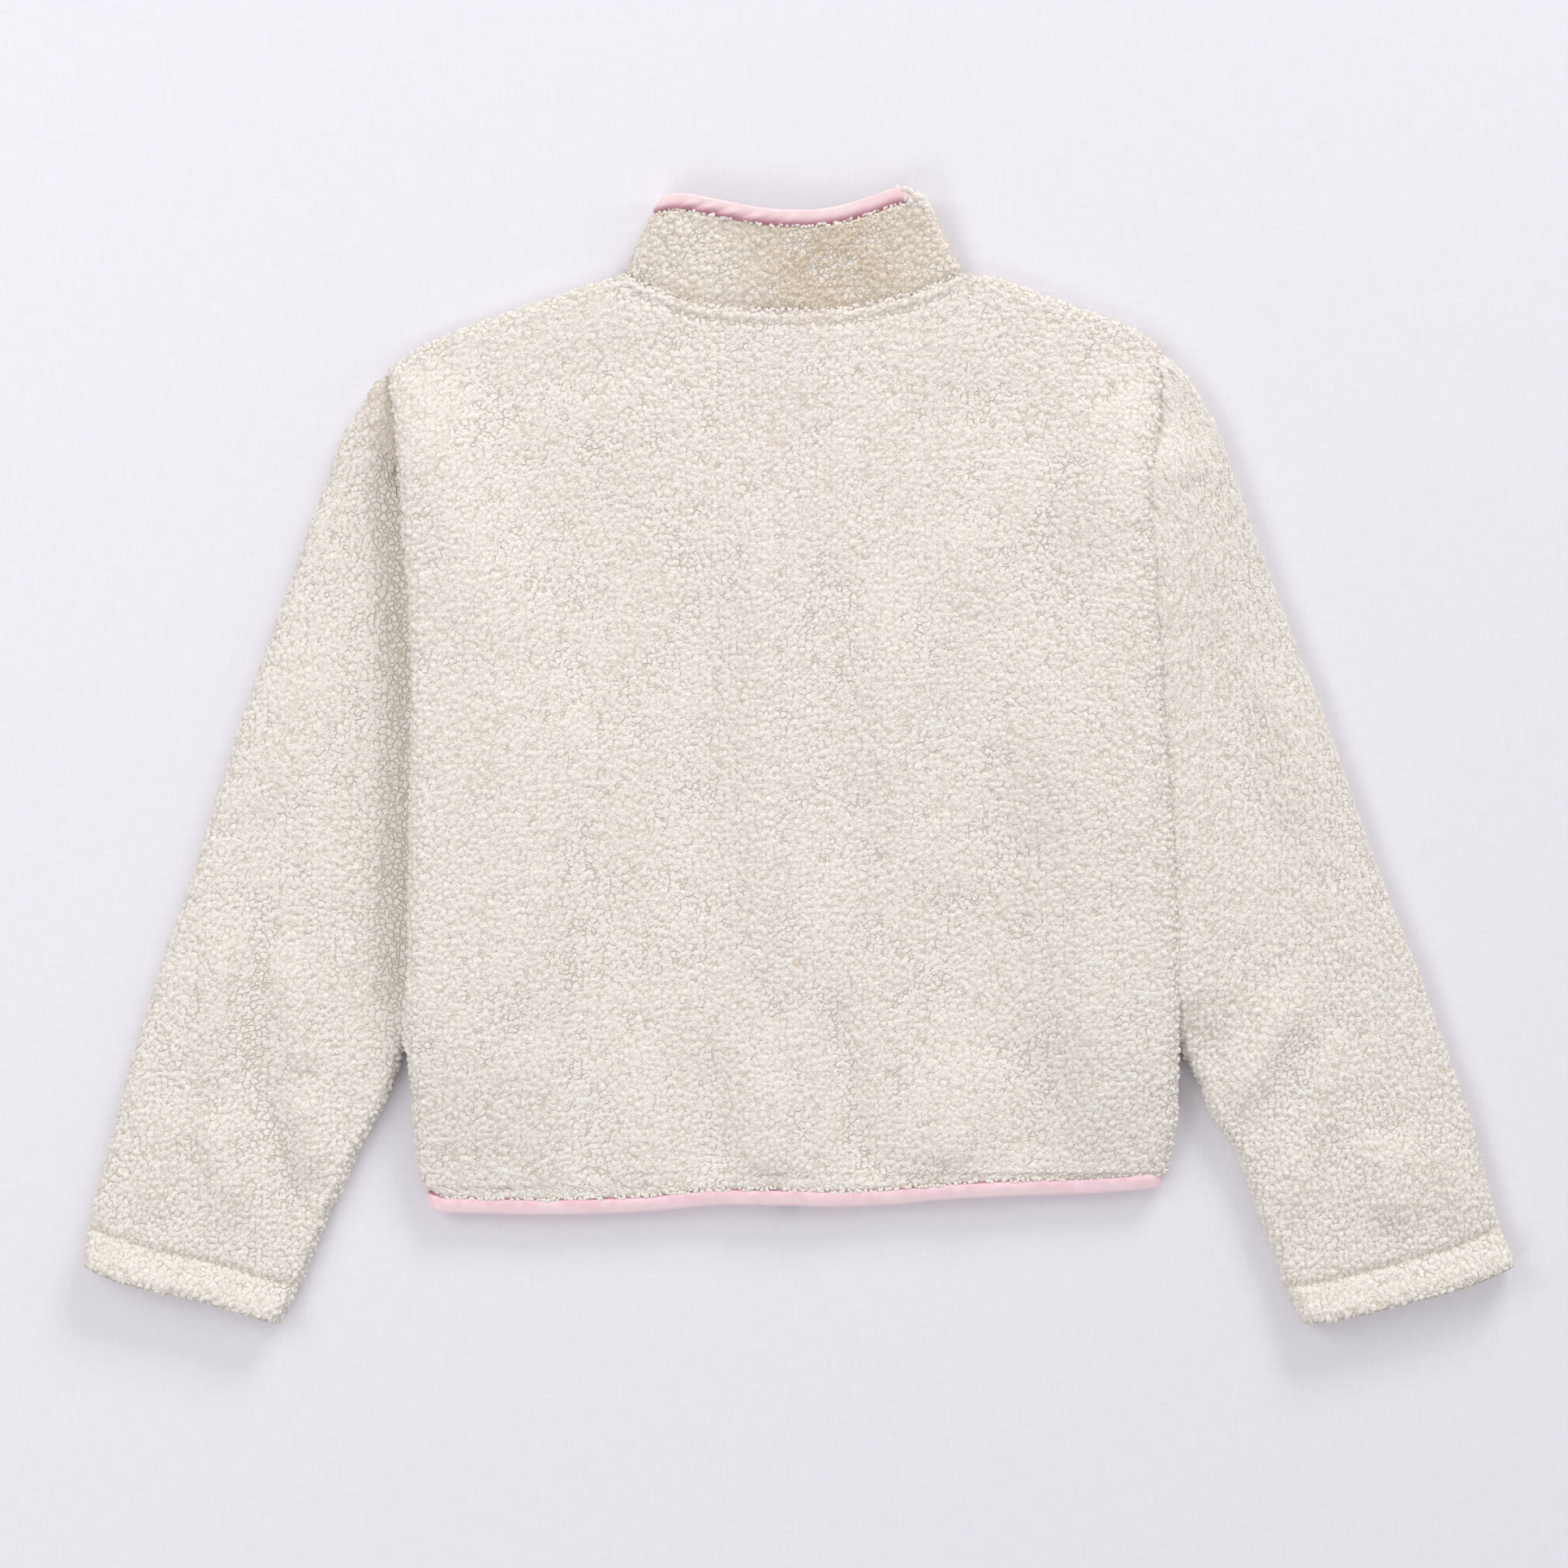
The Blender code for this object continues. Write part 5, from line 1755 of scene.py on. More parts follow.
    def build(self) -> None:
        """Cloth shell of the sleeve and the pile over it."""
        name = f"sleeve_{self.hand.label}"
        near_cuff = [0.0, 2.0, 6.0, 14.0, 20.0, 23.0, 25.0, 27.0, 32.0]
        steps = np.concatenate([near_cuff, spaced(38, self.length, self.shell_pitch)])
        t, is_top, width = self.spread(steps, self.shell_pitch, FEW_STEPS, 12.0)
        outer = self.skin(steps, 0 * steps + 1, t, is_top, width)
        inner = self.skin(steps, 0 * steps, t, is_top, width)
        middle = (outer + inner) / 2
        thinner = middle + (outer - middle) * 0.84
        shell = closed_wall(f"{name}_cloth", thinner, inner, ring=True)
        settle(shell, self.finishes.cloth, (name,))
        steps, level = self.cuff_rows(self.pile_pitch)
        t, is_top, width = self.spread(steps, self.pile_pitch, EDGE_STEPS, 9.0)
        skin = self.skin(steps, level, t, is_top, width)
        at_end = ease((steps - self.length + 7) / 7)[:, None]
        skin[..., 0] -= self.hand.value * self.end_reach * at_end
        inside = self.skin(steps, level * 0 - 0.5, t, is_top, width)
        outward = skin - inside
        distance = np.minimum(t, 1 - t) * width
        flat_below = ~is_top & (distance > self.layout.edge_round * 0.7)
        side = self.layout.side(self.hand, skin[..., 1])
        covered = ease((self.hand.value * (side - skin[..., 0]) - 2) / 5)
        along = steps[:, None]
        inner_fade = np.clip(level * 3, 0, 1)[:, None]
        stitched = 1 - 0.5 * bell(along - self.cuff_depth, 1.6) * is_top
        at_rim = np.maximum(bell(distance - 1, 6), bell(along, 6))
        shown = np.where(flat_below, 0.0, 1.0) * (1 - covered)
        amount = shown * (0.35 + 0.65 * inner_fade) * stitched
        amount = amount * (self.curl_share + 0.55 * at_rim)
        raised, curls, tone = self.pile.raise_skin(skin, outward, amount, ring=True)
        raised[..., 2] = np.maximum(raised[..., 2], 0.0)
        rim = np.maximum(at_rim - 0.2, 0) * (1 - covered) * (along > 0.3) * np.where(flat_below, 0, 1)
        weight = rim + 0.004 * is_top * (1 - covered)
        fibres = self.pile.fibres(
            f"{name}_fibres", raised, outward, weight, self.fibre_count, ring=True
        )
        settle(fibres, self.finishes.pile)
        # Painted shade: the curl value, and with it the finish's colour, drops in the cuff's stitched
        # groove, along the body's edge by seam_shade, and over the whole sleeve by the factor 0.94
        curls = curls * (1 - 0.75 * bell(along - self.cuff_depth, 1.8) * is_top)
        beside = bell(np.maximum(self.hand.value * (skin[..., 0] - side), 0), 19)
        shade = self.seam_shade * beside * is_top * ease((skin[..., 1] + 175) / 40)
        curls = np.where(flat_below, 0.8, 0.94 * curls * (1 - shade))
        pile = pile_skin(
            f"{name}_pile", raised, outward, curls, tone, self.finishes.pile, ring=True
        )


@dataclass
class Collar:
    """Stand collar from one side of the zip, round the neck, to the other."""

    layout: Layout
    pile: Pile
    finishes: Finishes
    front_top: float = 286.0
    side_top: float = 344.5
    # Place across at the neck seam, then at the top edge, with that edge's height
    top_edge: Rows = (
        (-108, -85.5, 344.5), (-90, -73, 346.5), (-68, -54, 343.6), (-38, -29, 338.2),
        (-4, -3, 336), (32, 22, 338), (60, 45, 345), (80, 61, 350), (100.5, 77, 345),
    )
    tilt: float = 9.0
    pile_pitch: float = 1.1
    fibre_count: int = 200
    # Dents and swellings: x1, y1, x2, y2, reach, height
    dents: Rows = (
        (-50, 340, -20, 300, 18, -1.7),
        (-20, 300, 40, 292, 15, -1.1),
        (60, 320, 78, 305, 16, -1.0),
        (-88, 318, -70, 330, 14, 0.9),
        (10, 328, 55, 330, 12, 0.7),
    )

    def columns(self, pitch: float, fold_step: float) -> tuple[np.ndarray, np.ndarray]:
        """Place across at the seam and turn about the side folds, for each column.

        Args:
            pitch: spacing across the back and the fronts.
            fold_step: angle between columns round a side fold.

        Returns:
            Places across, and turns from 0 on the back to half a turn on the fronts.
        """
        layout = self.layout
        places, turns = [], []
        for side, end in zip((-1.0, 1.0), (layout.neck_left, layout.neck_right)):
            gap = layout.space(np.array([end]), np.array([layout.zip_top]))[0]
            radius = (layout.fleece + gap) / 2
            opening = layout.zip_x + side * layout.zip_opening
            fold = spaced(0.0, math.pi, fold_step)
            at_fold = end - side * (layout.fleece / 2 + radius * (1 - np.sin(fold)))
            under = spaced(at_fold[-1], opening, pitch * 3)[1:]
            places.append(np.concatenate([at_fold, under]))
            turns.append(np.concatenate([fold, np.full(len(under), math.pi)]))
        across = spaced(places[0][0], places[1][0], pitch)[1:-1]
        place = np.concatenate([places[0][::-1], across, places[1]])
        turn = np.concatenate([turns[0][::-1], 0 * across, turns[1]])
        return place, turn

    def sides(
        self, place: np.ndarray, turn: np.ndarray, share: np.ndarray, offset: np.ndarray
    ) -> tuple[np.ndarray, ...]:
        """Outer side, inner side, middle and outward direction of the collar's cloth.

        Each column stands on the neck seam and leans to its place on the top edge. Round a
        side fold it turns about the middle between the two layers.

        Args:
            place: place across at the seam for each column.
            turn: turn about the side fold for each column.
            share: share of the collar's height for each row.
            offset: distance up the cloth from there for each row.

        Returns:
            Four grids of points or directions.
        """
        layout = self.layout
        side = np.where(place < layout.zip_x, -1.0, 1.0)
        front = ease((turn - math.pi / 2) / (math.pi / 2))
        table = read_table(self.top_edge, place)
        back_seam = read_table(layout.back_neck, place)
        seam = back_seam + (layout.front_neck(place) - back_seam) * front + layout.seam_gap
        slope = ease(np.abs(place - layout.zip_x) / (layout.neck_right - layout.zip_x))
        front_edge = self.front_top + (self.side_top - self.front_top) * slope
        top = table[:, 1] + (front_edge - table[:, 1]) * front - layout.band_reach - layout.seam_gap
        height = (top - seam)[None, :]
        lean = (share[:, None] + offset[:, None] / height) * (table[:, 0] - place)[None, :]
        near_zip = (turn == math.pi) * (1 - ease((np.abs(place - layout.zip_x) - 7) / 8))
        x = place[None, :] + lean * (1 - near_zip[None, :])
        y = seam[None, :] + share[:, None] * height + offset[:, None]
        gap = layout.space(x, layout.zip_top + 0 * x)
        grown = layout.full_depth - layout.bound_depth
        bound = ease((top[None, :] - y - layout.bound_depth) / grown)
        half = layout.collar_bound_half + (layout.fleece / 2 - layout.collar_bound_half) * bound
        radius = (layout.fleece + gap) / 2
        z = layout.fleece / 2 + radius * (1 + np.cos(turn)[None, :])
        risen = np.clip((y - seam[None, :]) / height, 0, 1.1) ** 0.9
        z = z + self.tilt * risen * (1 + np.cos(turn)[None, :]) / 2
        on_back = ease((np.cos(turn) - 0.2) / 0.7)[None, :]
        seam_furrow = 1.5 * bell(y - seam[None, :], 1.9)
        dent = soft_folds(self.dents, x, y) * on_back * bound
        direction = stack((side * np.sin(turn))[None, :] + 0 * x, 0 * x, np.cos(turn)[None, :])
        middle = stack(x, y, z)
        above = (half - seam_furrow * on_back + dent)[..., None]
        return middle + direction * above, middle - direction * half[..., None], middle, direction

    def build(self) -> None:
        """Cloth shell of the collar and the pile over it."""
        layout = self.layout
        share = np.concatenate([[0.0, 0.0], np.linspace(0.1, 0.8, 9), np.ones(4)])
        at_band = [-layout.full_depth, -9.6, -layout.bound_depth, 0.0]
        offset = np.concatenate([[0.0, 2.5], np.zeros(9), at_band])
        place, turn = self.columns(5.0, 0.30)
        outer, inner, _, direction = self.sides(place, turn, share, offset)
        shell = closed_wall("collar_cloth", outer - 0.5 * direction, inner)
        settle(shell, self.finishes.cloth, ("collar",))
        middle = spaced(0.0, 1.0, self.pile_pitch / 50)[1:-1]
        share = np.concatenate([[0.0, 0.0], middle, np.ones(6)])
        at_band = [-11.2, -10.8, -10.2, -9.6, -9.0, -8.2]
        offset = np.concatenate([[-0.9, 0.2], (1 - middle) * 1.2 - middle * 11.5, at_band])
        place, turn = self.columns(self.pile_pitch, self.pile_pitch / 6.6)
        outer, _, _, direction = self.sides(place, turn, share, offset)
        shown = ease((np.cos(turn) + 0.8) / 0.4)[None, :]
        bound = np.ones(len(share))
        bound[-6:] = [0.9, 0.8, 0.6, 0.35, 0.1, 0.0]
        bound[0] = 0.5
        at_fold = bell(np.cos(turn), 0.6)[None, :]
        amount = shown * bound[:, None] * (1.25 + 0.5 * at_fold)
        raised, curls, tone = self.pile.raise_skin(outer, direction, amount)
        raised[..., 2] = np.maximum(raised[..., 2], 0.0)
        above = np.maximum(outer[..., 1] - read_table(layout.back_neck, outer[..., 0]), 0)
        # Painted shade: the curl value drops along the neck seam, most towards both ends, and in a patch
        # to the right above it
        collar_shade = bell(above, 8) * (0.25 + 0.45 * (outer[..., 0] / 100) ** 2)
        collar_shade = collar_shade + 0.3 * bell(outer[..., 0] - 62, 30) * bell(above - 12, 16)
        curls = curls * (1 - np.minimum(collar_shade, 0.8)) * shown + 0.8 * (1 - shown)
        pile = pile_skin("collar_pile", raised, direction, curls, tone, self.finishes.collar)
        corner = self.corner_pile(place, turn)
        chosen = (turn < 0.4) & (place < 84)
        at_seam = np.array([-layout.bound_depth - 0.3])
        _, _, seam, facing = self.sides(place[chosen], turn[chosen], np.ones(1), at_seam)
        curls = self.pile.spill("collar_curls", (seam + 2.1 * facing)[0], facing[0], (-1.0, 1.1))
        settle(curls, self.finishes.pile)
        weight = (at_fold * shown * bound[:, None]) ** 2 + 0.01 * shown * bound[:, None]
        fibres = self.pile.fibres("collar_fibres", raised, direction, weight, self.fibre_count)
        settle(fibres, self.finishes.collar)

    def corner_pile(self, place: np.ndarray, turn: np.ndarray) -> bpy.types.Object:
        """Curls that spill over the binding at the collar's right corner.

        Args:
            place: place across at the seam for each column of the pile.
            turn: turn about the side fold for each column.

        Returns:
            The patch, whose section goes up the cloth, over the satin and down past its edge.
        """
        chosen = (place > 77.0) & (turn < 2.2)
        place, turn = place[chosen], turn[chosen]
        offset = np.array([
            -12.0, -11.0, -10.0, -9.0, -8.0, -7.0, -5.9, -4.8, -3.7, -2.6, -1.5, -0.4, 0.6, 1.4,
            1.9, 2.1, 2.1,
        ])
        height = np.array([
            2.6, 3.0, 3.2, 3.4, 3.6, 3.7, 3.75, 3.75, 3.7, 3.65, 3.6, 3.5, 3.3, 2.8, 2.0, 1.0, -0.4,
        ])
        _, _, middle, direction = self.sides(place, turn, np.ones(len(offset)), offset)
        grown = np.minimum(ease((place - 78.0) / 9) + (turn > 0), 1.0)
        above = height[:, None] * (0.42 + 0.58 * grown)[None, :]
        skin = middle + direction * above[..., None]
        outward = direction + np.array([0.0, 1.0, 0.0]) * (offset[:, None, None] > 0.5)
        raised, curls, tone = self.pile.raise_skin(skin, outward, 1.5 + 0 * skin[..., 0])
        raised[..., 2] = np.maximum(raised[..., 2], 0.0)
        return pile_skin("collar_corner_pile", raised, outward, curls, tone, self.finishes.pile)

    def bound_edge(self, pitch: float) -> tuple[np.ndarray, np.ndarray, np.ndarray]:
        """Top edge of the cloth.

        Args:
            pitch: spacing of points along it.

        Returns:
            Its points, and the directions out of the cloth and up the cloth at each.
        """
        share = np.array([1.0, 1.0])
        offset = np.array([0.0, -self.layout.bound_depth])
        place, turn = self.columns(pitch, 0.2)
        _, _, middle, direction = self.sides(place, turn, share, offset)
        return middle[0], direction[0], (middle[0] - middle[1]) / self.layout.bound_depth


@dataclass
class Binding:
    """Satin folded over an edge of cloth, puckered along its seam."""

    layout: Layout
    material: bpy.types.Material
    name: str
    node: str
    path: np.ndarray
    upward: np.ndarray
    outward: np.ndarray
    flat: tuple[float, float]
    rests_on: tuple[str, ...]
    pucker: float = 0.32
    # Strength of the painted highlight on the round, and how far the painted shade reaches from the seam
    roll_shine: float = 0.45
    seam_reach: float = 0.13
    # Wrinkles: distance along the path, slant, reach, height
    wrinkles: Rows = ()

    def profile(self) -> tuple[np.ndarray, np.ndarray]:
        """The fold's section: place out from the cloth's edge and place up from its middle.

        Returns:
            Outer points from the upper seam round the edge to the lower seam, and the share
            from 0 at the seam to 1 at the rounded edge for each of them.
        """
        layout = self.layout
        inner = -(layout.band_width - layout.band_reach - layout.seam_gap)
        half = layout.band_half
        # Share of the way in from the round, height as a share of half the thickness
        upper = np.array([
            (1.05, 0.50), (1.02, 0.72), (0.98, 0.90), (0.93, 1.00), (0.86, 1.07), (0.76, 1.13),
            (0.66, 1.17), (0.55, 1.19), (0.44, 1.18), (0.33, 1.15), (0.22, 1.10), (0.12, 1.03),
            (0.04, 0.96),
        ])
        angle = np.linspace(math.pi / 2, 0.0, 9)[1:]
        round_out = (layout.band_reach + 1.0) * np.cos(angle) - 1.0
        round_up = half * 0.93 * np.sin(angle)
        out = np.concatenate([(inner + 1.0) * upper[:, 0] - 1.0, round_out])
        up = np.concatenate([half * upper[:, 1], round_up])
        share = np.concatenate([1 - upper[:, 0] / 1.05, np.ones(len(angle))])
        flat_up = np.minimum(up, half)
        few = np.r_[len(out) - 2 : len(out) - 8 : -2, len(out) - 9 : 0 : -3, 0]
        outer = np.column_stack([np.r_[out, out[few]], np.r_[up, -flat_up[few]]])
        return outer, np.concatenate([share, share[few]])

    def crinkle(self, run: np.ndarray, share: np.ndarray) -> np.ndarray:
        """Height of puckers and wrinkles: uneven waves along the seam that fade to the round.

        Args:
            run: distances along the path.
            share: shares from 0 at the seam to 1 at the rounded edge.

        Returns:
            The height at each place.
        """
        spots = np.stack([run, 0 * run, 0 * run], axis=-1)
        waves = soft_noise(spots, 4.6, 41) * 0.7 + soft_noise(spots, 2.6, 43) * 0.45
        strength = 0.55 + 0.9 * np.clip(soft_noise(spots, 27.0, 47) + 0.3, 0, 1)
        seamward = bell(share - 0.16, 0.26)
        height = self.pucker * waves * strength * seamward
        slow = soft_noise(np.stack([run / 17.0, share * 1.5, 0 * run], axis=-1), 1.0, 53)
        height = height + 0.28 * slow * np.clip(1.2 - share, 0, 1)
        for at, slant, reach, rise in self.wrinkles:
            wave = bell(run - at - slant * share, reach)
            height = height + rise * wave * np.clip(1.4 - share, 0, 1)
        return height

    def build(self) -> None:
        """The binding, as a closed fold carried along its edge."""
        profile, share = self.profile()
        grid_run = distances(self.path)[None, :] + 0 * share[:, None]
        grid_share = share[:, None] + 0 * grid_run
        height = self.crinkle(grid_run, grid_share)
        out, up = profile[:, :1], profile[:, 1:]
        puckered = up + np.sign(up) * height * np.minimum(1.0, np.abs(up) / 1.5)
        outer = self.carried(out, puckered)
        inner = self.carried(
            np.clip(out - 0.6, -99, self.layout.seam_gap), np.clip(up, -1.6, 1.6)
        )
        outer[..., 2] = np.maximum(outer[..., 2], 0.0)
        inner[..., 2] = np.maximum(inner[..., 2], 0.25)
        piece = closed_wall(self.name, outer, inner)
        # Painted shade in the seam's ditch, and a painted highlight near the rounded edge
        seam = 1 - ease((grid_share - 0.03) / self.seam_reach)
        roll_highlight = self.roll_shine * ease((grid_share - 0.42) / 0.45)
        for label, values in (("seam", seam), ("roll_highlight", roll_highlight)):
            add_value(piece, label, np.concatenate([values, values]))
        settle(piece, self.material, (self.node,))

    def carried(self, out: np.ndarray, up: np.ndarray) -> np.ndarray:
        """Grid of points at these distances out of and up from the path."""
        return self.path + out[..., None] * self.outward + up[..., None] * self.upward


def hem_path(panels: BodyPanels, pitch: float) -> tuple[np.ndarray, np.ndarray, np.ndarray]:
    """Edge of the cloth along the hem, under the left front, round both sides and over the back.

    Args:
        panels: the body panels, for their layout.
        pitch: spacing of points along the hem.

    Returns:
        The edge's points, and the directions up out of and down along the cloth.
    """
    layout = panels.layout
    low_y = np.array([layout.low_y])
    left, right = (float(side(low_y)[0]) for side in (layout.left_edge, layout.right_edge))
    opening = (layout.zip_x - layout.zip_opening, layout.zip_x + layout.zip_opening)
    front_z = layout.fleece / 2
    turns = spaced(0.0, math.pi, 0.22)[1:-1]

    def run(x: np.ndarray, z: np.ndarray, up: float) -> tuple[np.ndarray, np.ndarray]:
        """Points and upward directions of a run along the hem."""
        return stack(x, layout.cloth_bottom(x), z), stack(0 * x, 0 * x, up + 0 * x)

    def corner(x: float, side: float, angles: np.ndarray) -> tuple[np.ndarray, np.ndarray]:
        """The turn round one side, from the front's hem to the back's or the other way.

        Args:
            x: place across of the side.
            side: -1 on the left and 1 on the right.
            angles: angles about the turn's middle, from 0 on the back.

        Returns:
            Points and upward directions.
        """
        top = float(layout.middle_of_hem(np.array([x]))[0])
        radius, centre = (top - front_z) / 2, (top + front_z) / 2
        place = x + side * np.sin(angles) * (radius + 2.0)
        ends = layout.hem[0][0], layout.hem[-1][0]
        reached = layout.cloth_bottom(np.clip(place + side * layout.band_half, *ends))
        y = np.clip(reached, layout.cloth_bottom(np.array([x])), None)
        upward = stack(side * np.sin(angles), 0 * angles, np.cos(angles))
        return stack(place, y, centre + radius * np.cos(angles)), upward

    x_left = spaced(opening[0], left, pitch)
    x_back = spaced(left, right, pitch)
    x_right = spaced(right, opening[1], pitch)
    parts = [
        run(x_left, front_z + 0 * x_left, -1.0),
        corner(left, -1.0, turns[::-1]),
        run(x_back, layout.middle_of_hem(x_back), 1.0),
        corner(right, 1.0, turns),
        run(x_right, front_z + 0 * x_right, -1.0),
    ]
    path = np.concatenate([part[0] for part in parts])
    upward = np.concatenate([part[1] for part in parts])
    outward = np.tile([0.0, -1.0, 0.0], (len(path), 1))
    return path, upward, outward


@dataclass
class Stitches:
    """Short stitches laid end to end along a line on the cloth."""

    name: str
    line: np.ndarray
    normal: np.ndarray
    material: bpy.types.Material
    slot: str
    stitch: float = 2.6
    gap: float = 0.8
    thick: float = 0.32

    def build(self) -> None:
        """One joined mesh of all the stitches."""
        run = distances(self.line)
        at = np.arange(2.0, run[-1] - 2.0, self.stitch + self.gap)
        centre = points_at(at, run, self.line)
        ahead = unit(points_at(at + 0.5, run, self.line) - centre)
        aside = unit(np.cross(points_at(at, run, self.normal), ahead))
        up = np.cross(ahead, aside) * self.thick
        moves = np.stack([aside * self.thick, up, ahead * self.stitch / 2, centre], axis=1)
        points, every = joined_copies(*rounded_block(), moves)
        settle(new_mesh(self.name, points, every), self.material)


@dataclass
class Zip:
    """Closed front zip: teeth, retainer box, slider, tab and the two woven tapes."""

    layout: Layout
    finishes: Finishes
    bottom: float = -276.0
    tooth_pitch: float = 2.1
    chain_z: float = 6.8
    slider_y: float = 274.0
    pin_z: float = 3.0
    tab_tilt: float = 4.2
    tab_half_long: float = 13.4
    tab_half_wide: float = 3.4
    tab_head: float = 0.6
    tab_half_thick: float = 0.62
    tab_edge: float = 0.28
    window_half: float = 1.95
    window_y: float = -2.75

    def build_teeth(self) -> None:
        """Teeth from both sides, in turn, gripping across the middle line."""
        start, stop = self.bottom + 10.4, 275.2
        count = int((stop - start) / self.tooth_pitch)
        y = start + (np.arange(count * 2) * self.tooth_pitch / 2)
        side = np.where(np.arange(count * 2) % 2 == 0, -1.0, 1.0)
        zero, one = np.zeros(len(y)), np.ones(len(y))
        centre = np.stack([self.layout.zip_x + side * 0.85, y, self.chain_z * one], axis=-1)
        moves = np.stack([
            np.stack([2.15 * side, zero, zero], axis=-1),
            np.stack([zero, 0.5 * one, zero], axis=-1),
            np.stack([zero, zero, 1.25 * one], axis=-1),
            centre,
        ], axis=1)
        moves[side < 0, 2] *= -1
        points, every = joined_copies(*rounded_block(), moves)
        piece = new_mesh("zip_teeth", points, every)
        settle(piece, self.finishes.metal, ("zip_chain",))

    def slab(
        self, outline: np.ndarray, hole: np.ndarray, half: float, bevel: float
    ) -> tuple[np.ndarray, np.ndarray]:
        """A flat plate with a hole: its rim and the hole's, both with rounded edges.

        Args:
            outline: points of the rim, in order.
            hole: the same number of points round the hole.
            half: half the plate's thickness.
            bevel: how far its edges are rounded.

        Returns:
            Points and faces of the closed plate, lying in x and y.
        """
        def ring(line: np.ndarray, inset: float, z: float) -> np.ndarray:
            """A line drawn in towards its middle, at one height.

            Args:
                line: the rim or the hole.
                inset: how far its widest points move in.
                z: the height.

            Returns:
                The ring's points.
            """
            centre = line.mean(axis=0)
            span = np.abs(line - centre).max(axis=0)
            moved = centre + (line - centre) * (1 - inset / np.maximum(span, 0.1))
            return stack(moved[:, 0], moved[:, 1], z + 0 * moved[:, 0])

        grid = np.stack([
            ring(hole, -bevel, half), ring(outline, bevel, half),
            ring(outline, bevel * 0.3, half - bevel * 0.3), ring(outline, 0, half - bevel),
            ring(outline, 0, bevel - half), ring(outline, bevel * 0.3, bevel * 0.3 - half),
            ring(outline, bevel, -half), ring(hole, -bevel, -half), ring(hole, 0, bevel - half),
            ring(hole, 0, half - bevel),
        ])
        index = grid_index(*grid.shape[:2], ring=True)
        points = grid.reshape(-1, 3)
        return points, faced_out(points, faces_between(np.concatenate([index, index[:1]])))

    def build_tab(self) -> None:
        """The tab: a long rounded plate that narrows to its window, where the bail holds it."""
        angle = np.linspace(0, 2 * math.pi, 49)[:-1]
        across, along = np.cos(angle), np.sin(angle)
        squared = 1 / np.maximum(np.abs(across), np.abs(along)) ** 0.72
        middle = self.tab_head - self.tab_half_long
        width = self.tab_half_wide * (1 - 0.12 * ease((along * squared + 1) / 2))
        rim_y = middle + along * squared * self.tab_half_long
        outline = np.column_stack([across * squared * width, rim_y])
        outline[:, 0] = np.clip(outline[:, 0], -3.45, 3.45)
        outline[:, 1] = np.clip(outline[:, 1], -26.3, self.tab_head)
        squared = 1 / np.maximum(np.abs(across), np.abs(along)) ** 0.85
        hole_y = self.window_y + along * squared * self.window_half
        hole = np.column_stack([across * squared * self.window_half, hole_y])
        points, faces = self.slab(outline, hole, self.tab_half_thick, self.tab_edge)
        tilt = math.radians(self.tab_tilt)
        y = points[:, 1] * math.cos(tilt) - points[:, 2] * math.sin(tilt)
        z = points[:, 1] * math.sin(tilt) + points[:, 2] * math.cos(tilt)
        placed = stack(points[:, 0] + self.layout.zip_x, y + self.slider_y, z + self.pin_z)
        piece = new_mesh("zip_tab", placed, faces)
        settle(piece, self.finishes.metal, ("zip_pull",), body=TAB_BODY)

    def dress(self) -> None:
        """Finish the nodes that stay as they are."""
        for name, material in (
            ("zip_tape_left", self.finishes.tape), ("zip_tape_right", self.finishes.tape),
            ("zip_retainer", self.finishes.metal), ("zip_slider", self.finishes.metal),
        ):
            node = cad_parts[name]
            node.data.materials.clear()
            node.data.materials.append(material)

    def build(self) -> None:
        """Make every part of the zip."""
        self.build_teeth()
        self.build_tab()
        self.dress()


@dataclass(frozen=True)
class Lamp:
    """One soft rectangular light, aimed at the jacket. Its place and size are in metres."""

    name: str
    place: tuple[float, float, float]
    size: tuple[float, float]
    power: float


